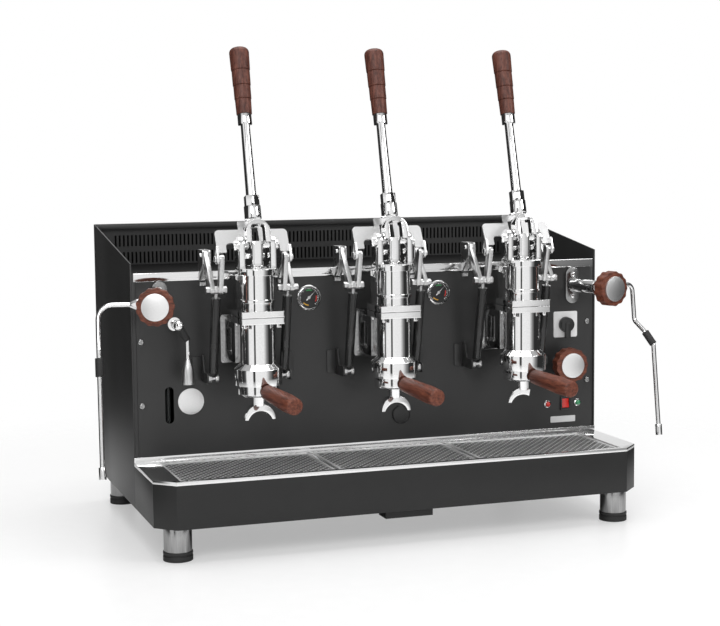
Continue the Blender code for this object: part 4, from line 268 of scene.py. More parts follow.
def from_bmesh(work, mesh=None):
    """A piece from a bmesh, with outward faces."""
    mesh = mesh or bpy.data.meshes.new("piece")
    bmesh.ops.recalc_face_normals(work, faces=work.faces)
    work.to_mesh(mesh)
    work.free()
    return linked(mesh)


def to_mesh(piece, weld=True):
    """Freeze a curve or a piece with modifiers into one mesh."""
    graph = bpy.context.evaluated_depsgraph_get()
    mesh = bpy.data.meshes.new_from_object(piece.evaluated_get(graph))
    discard(piece)
    work = bmesh.new()
    work.from_mesh(mesh)
    if weld:
        bmesh.ops.remove_doubles(work, verts=work.verts, dist=WELD)
    return from_bmesh(work, mesh)


def moved(piece, matrix):
    piece.data.transform(matrix)
    if matrix.determinant() < 0:
        piece.data.flip_normals()
    return piece


def plane_at(origin, across, up):
    """A frame whose X runs across, Y runs up and Z is square to both."""
    turn = Matrix((across, up, across.cross(up))).transposed()
    return Matrix.Translation(origin) @ turn.to_4x4()


def aimed(origin, direction):
    return Matrix.Translation(origin) @ direction.to_track_quat("Z", "Y").to_matrix().to_4x4()


def softened(piece, width, segments=2):
    """The sharp edges of a piece bevelled."""
    bevel = piece.modifiers.new("soft_edges", "BEVEL")
    bevel.width, bevel.segments = width, segments
    bevel.limit_method, bevel.angle_limit = "ANGLE", SHARP_ANGLE
    return to_mesh(piece)


def bar(x1, x2, y1, y2, z1, z2):
    """A block given by its reach along each axis in casing places, with its edges just broken."""
    low, high = case(x1, y1, z1), case(x2, y2, z2)
    work = bmesh.new()
    bmesh.ops.create_cube(work, size=1.0)
    bmesh.ops.scale(work, vec=high - low, verts=work.verts)
    bmesh.ops.translate(work, vec=(low + high) / 2, verts=work.verts)
    return softened(from_bmesh(work), min(EDGE, min(high - low) / 4))


def arc(centre, radius, start, sweep, steps):
    """Points along a flat arc, both ends included."""
    angles = [start + sweep * k / steps for k in range(steps + 1)]
    return [(centre[0] + radius * cos(a), centre[1] + radius * sin(a)) for a in angles]


def circle(centre, radius, sides=ROUND, start=0.0):
    return arc(centre, radius, start, 2 * pi, sides)[:-1]


def rectangle(u1, u2, v1, v2):
    return [(u1, v1), (u2, v1), (u2, v2), (u1, v2)]


def oblong(u, v, half_u, half_v):
    """A rectangle about its middle."""
    return rectangle(u - half_u, u + half_u, v - half_v, v + half_v)


def strap(first, second, radius, sides=MIDDLE, far_radius=None):
    """The outline of a link: two round ends joined by their common tangents."""
    far_radius = far_radius or radius
    way = Vector(second) - Vector(first)
    along, lean = atan2(way[1], way[0]), asin((radius - far_radius) / way.length)
    return (arc(first, radius, along + pi / 2 - lean, pi + 2 * lean, sides // 2)
            + arc(second, far_radius, along - pi / 2 + lean, pi - 2 * lean, sides // 2))


def rounded(points, radius, steps=CORNER_STEPS):
    """An outline whose corners are arcs. The radius may be one value or one for each corner."""
    out = []
    for i, point in enumerate(points):
        here = Vector(point)
        before = (Vector(points[i - 1]) - here).normalized()
        after = (Vector(points[(i + 1) % len(points)]) - here).normalized()
        size = radius[i] if isinstance(radius, (list, tuple)) else radius
        half = before.angle(after) / 2
        if size <= 0 or sin(half) > NEARLY_STRAIGHT:
            out.append(tuple(here))
            continue
        reach = size / (sin(half) / cos(half))
        centre = here + (before + after).normalized() * (size / sin(half))
        first = here + before * reach - centre
        sweep = first.angle_signed(here + after * reach - centre)
        out += [tuple(centre + Matrix.Rotation(-sweep * k / steps, 2) @ first) for k in range(steps + 1)]
    return out


def eased(profile, radius):
    """The profile's corners off the axis rounded, so that turned edges catch the light."""
    straight, share = radians(80), 0.4
    out = [profile[0]]
    for before, here, after in zip(profile, profile[1:], profile[2:]):
        middle = Vector(here)
        a, b = Vector(before) - middle, Vector(after) - middle
        if here[0] <= radius or a.angle(b) / 2 > straight:
            out.append(here)
            continue
        reach = min(radius, a.length * share, b.length * share)
        first, last = middle + a.normalized() * reach, middle + b.normalized() * reach
        out += [tuple(first), tuple((first + last) / 4 + middle / 2), tuple(last)]
    return out + [profile[-1]]


def stack(end, *steps):
    """A stepped profile, from the top down. Each step is (radius, top), and the last one ends at end."""
    ends = [top for _, top in steps[1:]] + [end]
    sides = [point for (radius, top), low in zip(steps, ends) for point in ((radius, top), (radius, low))]
    return [(0, steps[0][1]), *sides, (0, end)]


def turned(profile, origin, direction=Z_AXIS, sides=ROUND, edge=EDGE):
    """A profile of (radius, height) points, from the top down, turned about its axis."""
    points = eased(profile, edge) if edge else profile
    mesh = bpy.data.meshes.new("profile")
    mesh.from_pydata([(r, 0, h) for r, h in points], [(i, i + 1) for i in range(len(points) - 1)], [])
    piece = linked(mesh)
    screw = piece.modifiers.new("turn", "SCREW")
    screw.steps = screw.render_steps = sides
    screw.use_merge_vertices, screw.merge_threshold = True, WELD
    return moved(to_mesh(piece), aimed(origin, direction))


def rod(start, end, radius, sides=ROUND, far_radius=None):
    """A straight round, six-sided or tapered bar between two points."""
    far_radius = far_radius or radius
    length = (end - start).length
    if sides != HEXAGON:
        return turned([(0, length), (far_radius, length), (radius, 0), (0, 0)], start, end - start, sides)
    work = bmesh.new()
    bmesh.ops.create_cone(work, cap_ends=True, segments=sides, radius1=radius, radius2=far_radius,
                          depth=length)
    piece = moved(from_bmesh(work), Matrix.Translation((0, 0, length / 2)))
    return moved(softened(piece, EDGE), aimed(start, end - start))


def rod_x(x1, x2, y, z, radius, sides=SMALL):
    """A round bar across the machine, in casing places. The next two run back and up."""
    return rod(case(x1, y, z), case(x2, y, z), radius, sides)


def rod_y(x, y1, y2, z, radius, sides=ROUND):
    return rod(case(x, y1, z), case(x, y2, z), radius, sides)


def rod_z(x, y, z1, z2, radius, sides=ROUND):
    return rod(case(x, y, z1), case(x, y, z2), radius, sides)


def curve_of(loops, dimensions, cyclic):
    """A curve of straight pieces through each loop's points."""
    curve = bpy.data.curves.new("curve", "CURVE")
    curve.dimensions = dimensions
    for loop in loops:
        spline = curve.splines.new("POLY")
        spline.points.add(len(loop) - 1)
        for point, place in zip(spline.points, loop):
            point.co = (*place, *(0, 1)[len(place) - 2:])
        spline.use_cyclic_u = cyclic
    return curve


def plate(outline, thickness, plane, holes=(), edge=0.0):
    """A flat outline with holes, given its thickness about the plane and broken edges."""
    curve = curve_of([outline, *holes], "2D", True)
    curve.fill_mode = "BOTH"
    curve.extrude = thickness / 2
    piece = moved(to_mesh(linked(curve)), plane)
    return softened(piece, edge) if edge else piece


def side_plate(outline, x1, x2, holes=(), edge=EDGE):
    """A plate seen from the side: its outline is (y, z) in casing places, from x1 to x2."""
    return plate(outline, abs(x2 - x1), plane_at(case((x1 + x2) / 2, 0, 0), Y_AXIS, Z_AXIS), holes, edge)


def front_plate(outline, y1, y2, holes=(), edge=EDGE):
    """A plate seen from the front: its outline is (x, z) in casing places, from y1 to y2."""
    return plate(outline, abs(y2 - y1), plane_at(case(0, (y1 + y2) / 2, 0), X_AXIS, Z_AXIS), holes, edge)


def flat_plate(outline, z1, z2, holes=(), edge=EDGE):
    """A plate seen from above: its outline is (x, y) in casing places, from z1 to z2."""
    return plate(outline, abs(z2 - z1), plane_at(case(0, 0, (z1 + z2) / 2), X_AXIS, Y_AXIS), holes, edge)


def bent(points, radius, steps=10):
    """A path through the points with its inner corners rounded."""
    path = [points[0]]
    for before, here, after in zip(points, points[1:], points[2:]):
        back, on = (before - here).normalized(), (after - here).normalized()
        half = back.angle(on) / 2
        reach = radius * cos(half) / sin(half)
        centre = here + (back + on).normalized() * (radius / sin(half))
        first, last = here + back * reach - centre, here + on * reach - centre
        sweep = first.angle(last)
        path += [centre + (first * sin(sweep * (1 - k / steps)) + last * sin(sweep * k / steps))
                 / sin(sweep) for k in range(steps + 1)]
    return path + [points[-1]]


def tube(points, radius, resolution=5):
    """A round bar along a path, with filled ends."""
    curve = curve_of([points], "3D", False)
    curve.bevel_depth, curve.bevel_resolution = radius, resolution
    curve.use_fill_caps = True
    return to_mesh(linked(curve))


def cut(body, *tools):
    """A piece with others cut out of it. They are used up."""
    for tool in tools:
        step = body.modifiers.new("cut", "BOOLEAN")
        step.operation, step.object = "DIFFERENCE", tool
    result = to_mesh(body, weld=False)
    discard(*tools)
    return result


def bore_for(pin_radius, sides=SMALL):
    return (pin_radius + RUNNING) / cos(pi / sides)


def fused(*pieces):
    """Pieces gathered as one mesh that keeps their finishes. What isn't painted yet stays so."""
    whole = bpy.data.meshes.new("piece")
    work = bmesh.new()
    finishes = []
    for piece in pieces:
        start = len(work.faces)
        work.from_mesh(piece.data)
        work.faces.ensure_lookup_table()
        own = list(piece.data.materials) or [None]
        finishes += [finish for finish in own if finish not in finishes]
        for face in work.faces[start:]:
            face.material_index = finishes.index(own[face.material_index])
            face.smooth = True
    work.to_mesh(whole)
    work.free()
    for finish in finishes:
        whole.materials.append(finish)
    discard(*pieces)
    whole.set_sharp_from_angle(angle=SHARP_ANGLE)
    return linked(whole)


def paint(look, *pieces):
    """Pieces gathered as one mesh with one finish."""
    whole = fused(*pieces)
    whole.data.materials.clear()
    whole.data.materials.append(LOOKS[look])
    for face in whole.data.polygons:
        face.material_index = 0
    return whole


def copied(piece, x=0.0, flip=False):
    """A copy of a piece further along the machine, or on the other side of its middle."""
    mirror = Matrix.Diagonal((-1 if flip else 1, 1, 1, 1))
    return moved(linked(piece.data.copy()), Matrix.Translation((x, 0, 0)) @ mirror)


def dress(name, body, slot, look, nodes, *pieces):
    """One piece of the scene: it rides on a body and stands for nodes of the frame."""
    piece = fused(*pieces)
    for place, finish in enumerate(piece.data.materials):
        if finish is None:
            piece.data.materials[place] = LOOKS[look]
    piece.name = piece.data.name = name
    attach(piece, body)
    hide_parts(*nodes)


# Casing
HALF_WIDTH = BODY_WIDTH / 2
INNER_X = HALF_WIDTH - SIDE_SHEET
SHEET_HALF = INNER_X - SEAT
FLANGE_Y = SHEET + SEAT
PAN_WALL = 0.025
RIM_DROP = 0.0115
TRIM_DROP = 0.016
TRIM_SHEET = 0.0012
BOILER_RADIUS = 0.105
BOILER_Y = 0.200
NECK_Z = 0.320
NECK_PIPE_RADIUS = 0.018


def side_panel():
    """The right-hand side: a sloping sheet with front and rear return flanges."""
    flange = 0.017
    sheet = side_plate([(0, 0), (BODY_DEPTH, 0), (BODY_DEPTH, REAR_HEIGHT), (0, FRONT_HEIGHT)],
                       INNER_X, HALF_WIDTH)
    inner, bite, low = INNER_X - flange, INNER_X + SIDE_SHEET / 2, PAN_WALL + SEAT
    back = BODY_DEPTH - FLANGE_Y
    return fused(sheet,
                 bar(inner, bite, FLANGE_Y, FLANGE_Y + SHEET, low, DECK_HEIGHT - TRIM_SHEET - SEAT),
                 bar(inner, bite, back - SHEET, back, low, REAR_HEIGHT - RIM_DROP - OVERRUN))


def rear_panel():
    """The back sheet, with two rows of slots in its gallery, a folded top rim, and a near-black sheet of
    painted shade behind the slots.
    """
    slot_width, slot_height, pitch, margin = 0.004, 0.024, 0.0088, 0.040
    low, row_rise, fold, shade_sheet_thickness = 0.445, 0.036, 0.012, 0.0006
    half, face = SHEET_HALF, BODY_DEPTH - SHEET
    count = int((2 * half - 2 * margin) / pitch) + 1
    slots = [oblong((i - (count - 1) / 2) * pitch, low + row * row_rise + slot_height / 2,
                    slot_width / 2, slot_height / 2) for row in range(2) for i in range(count)]
    sheet = front_plate(rectangle(-half, half, 0, REAR_HEIGHT), face, BODY_DEPTH - SEAT, slots, 0)
    top = bar(-half, half, face - fold, face + SHEET / 2, REAR_HEIGHT - SHEET, REAR_HEIGHT)
    lip = bar(-half, half, face - fold, face - fold + SHEET, REAR_HEIGHT - RIM_DROP,
              REAR_HEIGHT - SHEET / 2)
    # A near-black sheet behind the slots: painted shade for the dark inside of the casing
    behind = bar(-half, half, BODY_DEPTH - shade_sheet_thickness, BODY_DEPTH, low - slot_height,
                 REAR_HEIGHT - slot_height)
    return fused(sheet, top, lip, paint("gap", behind))


def front_panel():
    """The front sheet with all that is bolted to it: brackets, gauges, valves and switches."""
    half = INNER_X - 0.007
    sight = SIGHT_WIDTH / 2
    holes = [circle((x, NECK_Z), bore_for(NECK_PIPE_RADIUS, ROUND)) for x in GROUPS_X]
    holes += [strap((SIGHT_X, SIGHT_LOW_Z + sight), (SIGHT_X, SIGHT_HIGH_Z - sight), sight),
              selector_hole(),
              oblong(ROCKER_X, LAMP_Z, ROCKER_HALF_WIDTH - ROCKER_WALL, ROCKER_HALF_HEIGHT - ROCKER_WALL)]
    top = DECK_HEIGHT - TRIM_SHEET - SEAT
    sheet = front_plate(rectangle(-half, half, PAN_WALL + SEAT, top), 0, SHEET, holes, 0)
    return [sheet, *panel_brackets(), *panel_fittings()]


def chassis():
    """The base pan with its folded walls, the saddles under the boiler and the rear feet."""
    saddle_x, thickness, half_depth, wrap = 0.260, 0.030, 0.060, 0.030
    foot_x, foot_y = 0.450, 0.351
    half, back = SHEET_HALF, BODY_DEPTH - FLANGE_Y
    pan = cut(bar(-half, half, 0, back, 0, PAN_WALL),
              bar(-half + SHEET, half - SHEET, SHEET, back - SHEET, SHEET, PAN_WALL + OVERRUN))
    saddles = []
    for side in SIDES:
        x, reach = side * saddle_x, thickness / 2 + OVERRUN
        block = bar(x - thickness / 2, x + thickness / 2, BOILER_Y - half_depth, BOILER_Y + half_depth,
                    SHEET / 2, NECK_Z - BOILER_RADIUS + wrap)
        drum = turned(stack(-reach, (BOILER_RADIUS + SEAT, reach)), case(x, BOILER_Y, NECK_Z), X_AXIS)
        saddles.append(cut(block, drum))
    return fused(pan, *saddles, *[foot(side * foot_x, foot_y) for side in SIDES])


def boiler():
    """A drum with domed ends, lying across the machine."""
    half, dome, steps = 0.380, 0.045, 16
    cap = [(BOILER_RADIUS * v, half - dome + dome * u) for u, v in arc((0, 0), 1, 0, pi / 2, steps)]
    return turned(cap + [(r, -h) for r, h in reversed(cap)], case(0, BOILER_Y, NECK_Z), X_AXIS)


def cup_deck():
    """The cup shelf: a sheet with its front and rear edges folded down."""
    z, skirt = 0.440, 0.020
    half, front = SHEET_HALF, FLANGE_Y + SHEET + SEAT
    back = BODY_DEPTH - front
    return cut(bar(-half, half, front, back, z - skirt, z + SHEET),
               bar(-half - OVERRUN, half + OVERRUN, front + SHEET, back - SHEET, z - skirt - OVERRUN, z))


def front_trim():
    """The polished angle strip over the front panel's top edge."""
    flange, end_gap = 0.016, 0.003
    half, face, low = INNER_X - end_gap, -SEAT - TRIM_SHEET, DECK_HEIGHT - TRIM_DROP
    under = DECK_HEIGHT - TRIM_SHEET
    return side_plate([(face, low), (-SEAT, low), (-SEAT, under), (flange, under),
                       (flange, DECK_HEIGHT), (face, DECK_HEIGHT)], -half, half)


def casing():
    right = side_panel()
    left = copied(right, flip=True)
    dress("side_right", "machine", "black_paint", "paint", ["side_panel_right"], right)
    dress("side_left", "machine", "black_paint", "paint", ["side_panel_left"], left)
    dress("rear_sheet", "machine", "black_paint", "paint", ["rear_panel"], rear_panel())
    dress("front_sheet_and_fittings", "machine", "black_paint", "paint", ["front_panel"], *front_panel())
    dress("base_pan", "machine", "black_paint", "paint", ["chassis"], chassis())
    dress("boiler_drum", "machine", "copper", "copper", ["boiler"], boiler())
    # The shelf wears a near-black copy of the casing's paint: painted shade
    dress("cup_shelf", "machine", "black_paint", "deck", ["cup_tray"], cup_deck())
    dress("trim_strip", "machine", "polished", "rim", ["front_trim"], front_trim())


# Drip tray. Its grates lie in the rim's opening.
TRAY_RIM_HEIGHT = 0.007
OPENING_HALF = HALF_WIDTH - 0.045
OPENING_FRONT = -TRAY_REACH + 0.010
OPENING_BACK = -0.014
GRATE_TOP = TRAY_HEIGHT - 0.0022
GRATE_THICKNESS = 0.002
GRATE_GAP = 0.001
MESH_PITCH = 0.0145
MESH_DEPTH = 0.0165
MESH_STRAND = 0.0016


def foot(x, y):
    """A rubber pad with its groove, and the steel sleeve that stands on it."""
    pad, pad_top, leg = 0.0275, 0.017, 0.026
    groove_low, groove_top, groove_depth = 0.0095, 0.0125, 0.002
    place = case(x, y, -FOOT_HEIGHT)
    rubber = stack(0, (pad, pad_top), (pad - groove_depth, groove_top), (pad, groove_low))
    sleeve = stack(pad_top, (leg, FOOT_HEIGHT + SHEET / 2))
    return fused(paint("rubber", turned(rubber, place)), paint("leg_steel", turned(sleeve, place)))


def tray_outline(inset):
    """The tray seen from above, with its front corners cut, drawn in by an even inset."""
    chamfer = 0.036
    half, front, back = HALF_WIDTH - inset, -TRAY_REACH + inset, -SEAT - inset
    corner = chamfer - inset * (2 - 1 / cos(pi / 4))
    return [(-half, back), (-half, front + corner), (-half + corner, front),
            (half - corner, front), (half, front + corner), (half, back)]


def tray_housing():
    """The drip tray's basin, with two chamfered corners, its drain box and the front feet."""
    drain_half, drain_front, drain_back, drop, edge = 0.048, -0.190, -0.150, 0.017, 0.002
    foot_x, foot_y = 0.445, -0.169
    top = TRAY_HEIGHT - TRAY_RIM_HEIGHT - SEAT
    basin = cut(flat_plate(tray_outline(0), 0, top), flat_plate(tray_outline(SHEET), SHEET, top + OVERRUN))
    drain = bar(-drain_half, drain_half, drain_front, drain_back, -drop, SHEET / 2)
    return fused(basin, softened(drain, edge), *[foot(side * foot_x, foot_y) for side in SIDES])


def grate_spans():
    """The left and right ends of the three grates."""
    split, half_gap = 0.142, 0.004
    outer, near, far = OPENING_HALF - GRATE_GAP, split - half_gap, split + half_gap
    return [(-outer, -far), (-near, near), (far, outer)]


def tray_rim():
    """The polished frame on the basin, with ledges under the grates and an upstand behind."""
    ledge, sheet, upstand = 0.007, 0.0015, 0.0096
    base, seat = TRAY_HEIGHT - TRAY_RIM_HEIGHT, GRATE_TOP - GRATE_THICKNESS - SEAT
    pocket = flat_plate(rectangle(-OPENING_HALF, OPENING_HALF, OPENING_FRONT, OPENING_BACK), seat,
                        TRAY_HEIGHT + OVERRUN)
    cells = [bar(left + ledge, right - ledge, OPENING_FRONT + ledge, OPENING_BACK - ledge,
                 base - OVERRUN, seat + OVERRUN) for left, right in grate_spans()]
    lip = bar(-HALF_WIDTH, HALF_WIDTH, -SEAT - sheet, -SEAT, TRAY_HEIGHT - sheet, TRAY_HEIGHT + upstand)
    return fused(cut(flat_plate(tray_outline(0), base, TRAY_HEIGHT), pocket, *cells), lip)


def strands(left, right, front, back, way):
    """The ends of a diamond mesh's bars that run one way across a rectangle, clipped to it."""
    rise = way * MESH_DEPTH / MESH_PITCH
    span = (back - front) / abs(rise)
    start = left - span
    while start < right:
        low, high = max(left, start), min(right, start + span)
        if high - low >= MESH_STRAND:
            yield [Vector((x, (front if way > 0 else back) + (x - start) * rise, 0)) for x in (low, high)]
        start += MESH_PITCH


def mesh_grate(left, right):
    """An expanded-metal grate: crossing strands within a thin border."""
    border, height, drop = 0.006, 0.0008, 0.0001
    front, back = OPENING_FRONT + GRATE_GAP, OPENING_BACK - GRATE_GAP
    hole = rectangle(left + border, right - border, front + border, back - border)
    rim = flat_plate(rectangle(left, right, front, back), GRATE_TOP - GRATE_THICKNESS, GRATE_TOP, [hole])
    work = bmesh.new()
    inner = border - MESH_STRAND
    for way in SIDES:
        top = GRATE_TOP - drop * (way + 2)
        for a, b in strands(left + inner, right - inner, front + inner, back - inner, way):
            side = (b - a).normalized().cross(Z_AXIS) * MESH_STRAND / 2
            ring = (a - side, b - side, b + side, a + side)
            low, high = [[work.verts.new(case(*p.xy, z)) for p in ring] for z in (top - height, top)]
            work.faces.new(low[::-1])
            work.faces.new(high)
            for k, after in enumerate((1, 2, 3, 0)):
                work.faces.new((low[k], low[after], high[after], high[k]))
    return [rim, from_bmesh(work)]


def drip_tray():
    # The basin wears a darker, duller copy of the casing's black paint: painted shade
    dress("tray_basin", "machine", "black_paint", "shaded_tray_paint", ["tray_housing"], tray_housing())
    dress("tray_frame", "machine", "polished", "rim", ["tray_rim"], tray_rim())
    for number, span in enumerate(grate_spans(), 1):
        name = f"drip_grate_{number}"
        dress(f"mesh_{number}", name, "brushed", "mesh", [name], *mesh_grate(*span))


# Groups, in heights above the casing's bottom edge
GROUPS_X = [step * GROUP_PITCH for step in (-1, 0, 1)]
CYLINDER_BORE = 0.026
HEAD_RADIUS = 0.031
NECK_FRONT = -GROUP_REACH + (CYLINDER_BORE + HEAD_RADIUS) / 2
RIM_RADIUS = 0.035
RIM_TOP_Z = 0.2562
BELL_LOW_Z = 0.2438
CLAMP_SPLIT_Z = 0.372
CLAMP_TOP_Z = 0.384
CLAMP_CORNER = 0.003
CAP_LOW_Z = 0.450
CAP_TOP_Z = 0.4615
COLLAR_RADIUS = 0.0135
COLLAR_RISE = 0.0035
ROD_RADIUS = 0.008
EAR_INNER = 0.025
EAR_OUTER = 0.035

# Lever, measured along itself from its axle
AXLE_Y = -0.106
AXLE_Z = 0.505
AXLE = case(0, AXLE_Y, AXLE_Z)
AXLE_RADIUS = 0.006
LEAN = radians(15)
TRAVEL = radians(85)
LEVER_UP = Vector((0, sin(LEAN), cos(LEAN)))
LEVER = plane_at(AXLE, X_AXIS, LEVER_UP)
CRANK = 0.032
CRANK_PIN_RADIUS = 0.005
CRANK_PIN = (AXLE_Y + CRANK * cos(TRAVEL / 2), AXLE_Z - CRANK * sin(TRAVEL / 2))
FORK_INNER = 0.0135
FORK_OUTER = 0.0235
FORK_WINDOW_TOP = 0.038
FORK_TOP = 0.054
LOBE_RAISE = 0.0006
GRIP_LOW = 0.2525

# Yoke behind the fork, drawn in its own leaning plane from its foot
YOKE_FOOT = (-0.092, 0.491)
YOKE_LEAN = radians(28.2)
YOKE_UP = Vector((0, sin(YOKE_LEAN), cos(YOKE_LEAN)))
YOKE_HALF_WIDTH = 0.072
YOKE_FLANGE_SHEET = 0.003
YOKE_HUMP_LOW = 0.0511
YOKE_HUMP_TOP = 0.0636

# Damper linkage at the right of a group: pivots as (y, z), and the slabs in which the links lie
LINK_TOP = (-0.092, 0.480)
COMMON = (-0.078, 0.421)
SWING_PIVOT = (-0.028, 0.484)
STRUT_FOOT = (-0.042, 0.249)
LINK_PIN_RADIUS = 0.004
LINK_RADIUS = 0.008
LINK_WAIST_RADIUS = 0.006
LINK_NUT_LENGTH = 0.008
LINK_NUT_RADIUS = 0.007
SWING_INNER_X = 0.0738
SWING_OUTER_X = 0.082
STRUT_X = 0.070
STRUT_LOW = case(STRUT_X, *STRUT_FOOT)
STRUT_TOP = case(STRUT_X, *COMMON)
STRUT_UP = (STRUT_TOP - STRUT_LOW).normalized()
STRUT_EYE_HALF = 0.0035
STRUT_EYE_RADIUS = 0.0075

# Portafilter
HANDLE_LOW = 0.050
HANDLE_TURN = radians(5)
HANDLE_DROP = radians(3.1)
HANDLE_ROOT = case(0, -GROUP_REACH, 0.2365)
HANDLE_WAY = Vector((cos(HANDLE_DROP) * sin(HANDLE_TURN), -cos(HANDLE_DROP) * cos(HANDLE_TURN),
                     -sin(HANDLE_DROP)))
SPOUT_TURNS = (0.0, 0.0, radians(-19))


def cylinder():
    """Bell, barrel, spring housing and cap turned in one, hollow for the piston."""
    bore_low, barrel, cone_z, bell, bell_high = 0.262, 0.034, 0.284, 0.0452, 0.2743
    ring, ring_low, ring_top, cap = 0.0335, 0.3986, 0.4046, 0.0355
    hole, mouth, collar_top = ROD_RADIUS + RUNNING, bore_for(RIM_RADIUS, ROUND), CAP_TOP_Z + COLLAR_RISE
    inside = [(0, bore_low), (CYLINDER_BORE, bore_low), (CYLINDER_BORE, CAP_LOW_Z), (hole, CAP_LOW_Z),
              (hole, collar_top)]
    outside = stack(CLAMP_SPLIT_Z, (COLLAR_RADIUS, collar_top), (cap, CAP_TOP_Z), (HEAD_RADIUS, CAP_LOW_Z),
                    (ring, ring_top), (HEAD_RADIUS, ring_low))[1:-1]
    below = [(barrel, CLAMP_SPLIT_Z), (barrel, cone_z), (bell, bell_high), (bell, BELL_LOW_Z),
             (mouth, BELL_LOW_Z), (mouth, RIM_TOP_Z + SEAT), (0, RIM_TOP_Z + SEAT)]
    return turned(inside + outside + below, case(0, -GROUP_REACH, 0))


def neck_pieces():
    """The neck with its sunk sides, the flange on the panel and the pipe to the boiler."""
    half, low, high, corner = 0.037, 0.282, 0.358, 0.006
    thickness, margin, border, sunk = 0.008, 0.009, 0.012, 0.009
    neck = flat_plate(rectangle(-half, half, NECK_FRONT, -thickness / 2), low, high)
    pocket = rounded(rectangle(NECK_FRONT + 2 * border, -thickness - border, low + border, high - border),
                     corner)
    pockets = [side_plate(pocket, side * (half - sunk), side * (half + OVERRUN)) for side in SIDES]
    flange = rounded(rectangle(-half - margin, half + margin, low - margin, high + margin), corner)
    pipe = rod_y(0, -thickness / 2, BOILER_Y - BOILER_RADIUS - SEAT, NECK_Z, NECK_PIPE_RADIUS, MIDDLE)
    return paint("cast", cut(neck, *pockets), front_plate(flange, -thickness, -SEAT), pipe)


def clamp_pieces():
    """The two square clamp plates with a seam between them, and the four bolts below."""
    half, low, seam, bolt, inset, drop = 0.0415, 0.360, 0.001, 0.005, 0.0095, 0.007
    hole = circle((0, -GROUP_REACH), (CYLINDER_BORE + HEAD_RADIUS) / 2)
    square = rounded(oblong(0, -GROUP_REACH, half, half), CLAMP_CORNER)
    plates = [flat_plate(square, low, CLAMP_SPLIT_Z - seam / 2, [hole]),
              flat_plate(square, CLAMP_SPLIT_Z + seam / 2, CLAMP_TOP_Z, [hole])]
    reach = half - inset
    return plates + [rod_z(side * reach, -GROUP_REACH + end * reach, low - drop, low + drop, bolt, HEXAGON)
                     for side in SIDES for end in SIDES]


def ear_pieces():
    """The two ears for the lever's axle, on a base round the rod's collar."""
    radius, corner, margin, border = 0.0175, 0.009, 0.001, 0.004
    low = (CAP_LOW_Z + CAP_TOP_Z) / 2
    ear = [(AXLE_Y + radius, low), *arc((AXLE_Y, AXLE_Z), radius, 0, pi, MIDDLE // 2),
           (AXLE_Y - radius, low)]
    ears = [side_plate(ear, side * EAR_INNER, side * EAR_OUTER) for side in SIDES]
    hole, half = (COLLAR_RADIUS + EAR_INNER) / 2, EAR_OUTER + margin
    outline = rectangle(-half, half, -GROUP_REACH - hole - border, AXLE_Y + radius + margin)
    base = flat_plate(rounded(outline, corner), low + COLLAR_RISE / 2, CAP_TOP_Z + COLLAR_RISE / 3,
                      [circle((0, -GROUP_REACH), hole, MIDDLE, pi / MIDDLE)])
    return [base, *ears]


def axle_pins():
    """The two stub pins on which the fork turns, one in each ear."""
    head, head_radius, thickness = EAR_OUTER - SEAT, 0.0095, 0.0075
    profile = stack(FORK_INNER + SEAT, (head_radius, head + thickness), (AXLE_RADIUS, head))
    return [turned(profile, AXLE, X_AXIS * side, MIDDLE) for side in SIDES]


def group_body():
    """Everything that stays still at one group."""
    half, reach, top = 0.024, 0.036, 0.446
    block = flat_plate(rectangle(-half, half, NECK_FRONT, -GROUP_REACH + HEAD_RADIUS + reach),
                       CLAMP_TOP_Z - CLAMP_CORNER / 2, top)
    return fused(cylinder(), *clamp_pieces(), neck_pieces(), block, *ear_pieces(), *axle_pins())


def fork():
    """Fork with its round arch, socket, nut, arm and ferrule, and the crank pin between its lobes."""
    half_thickness, lobe_radius, pin_lobe_radius, shoulder, top_half = 0.010, 0.015, 0.0105, 0.036, 0.0145
    arch_front, arch_back, arch_top, arch_window_top, corner = 0.029, 0.0075, 0.0435, 0.0345, 0.006
    out = FORK_OUTER
    lobe = side_plate(strap((AXLE_Y, AXLE_Z), CRANK_PIN, lobe_radius, MIDDLE, pin_lobe_radius),
                      -out - LOBE_RAISE, out + LOBE_RAISE)
    body = plate([(-out, 0), (out, 0), (out, shoulder), (top_half, FORK_TOP), (-top_half, FORK_TOP),
                  (-out, shoulder)], 2 * half_thickness, LEVER)
    arch = plate([(-out, 0), (out, 0), *arc((0, arch_top - out), out, 0, pi, MIDDLE // 2)],
                 arch_front - arch_back, LEVER @ Matrix.Translation((0, 0, (arch_front + arch_back) / 2)))
    deep = CRANK + lobe_radius + OVERRUN
    corners = [0, 0, corner, corner]
    window, opening = [plate(rounded(rectangle(-FORK_INNER, FORK_INNER, -deep, top), corners), 2 * deep,
                             LEVER) for top in (FORK_WINDOW_TOP, arch_window_top)]
    hole = rod_x(-out - OVERRUN, out + OVERRUN, AXLE_Y, AXLE_Z, bore_for(AXLE_RADIUS, MIDDLE), MIDDLE)
    body = cut(fused(body, lobe), window, hole)
    arch = softened(cut(arch, opening), 3 * EDGE, 3)
    pin = rod_x(-out + SEAT, out - SEAT, *CRANK_PIN, CRANK_PIN_RADIUS)
    return [body, arch, *lever_arm(), pin]


def lever_arm():
    """The socket, the tapered arm and the ferrule in one, and the nut round the arm's foot."""
    ferrule, ferrule_low, arm_high, arm_low = 0.0135, 0.2325, 0.00875, 0.010
    socket, socket_low, socket_top, nut, nut_top = 0.016, 0.050, 0.074, 0.015, 0.094
    profile = [(0, GRIP_LOW - SEAT), (ferrule, GRIP_LOW - SEAT), (ferrule, ferrule_low),
               (arm_high, ferrule_low), (arm_low, nut_top - OVERRUN), (arm_low, socket_top),
               (socket, socket_top), (socket, socket_low), (0, socket_low)]
    return [turned(profile, AXLE, LEVER_UP, MIDDLE),
            rod(AXLE + LEVER_UP * (socket_top - OVERRUN), AXLE + LEVER_UP * nut_top, nut, HEXAGON)]


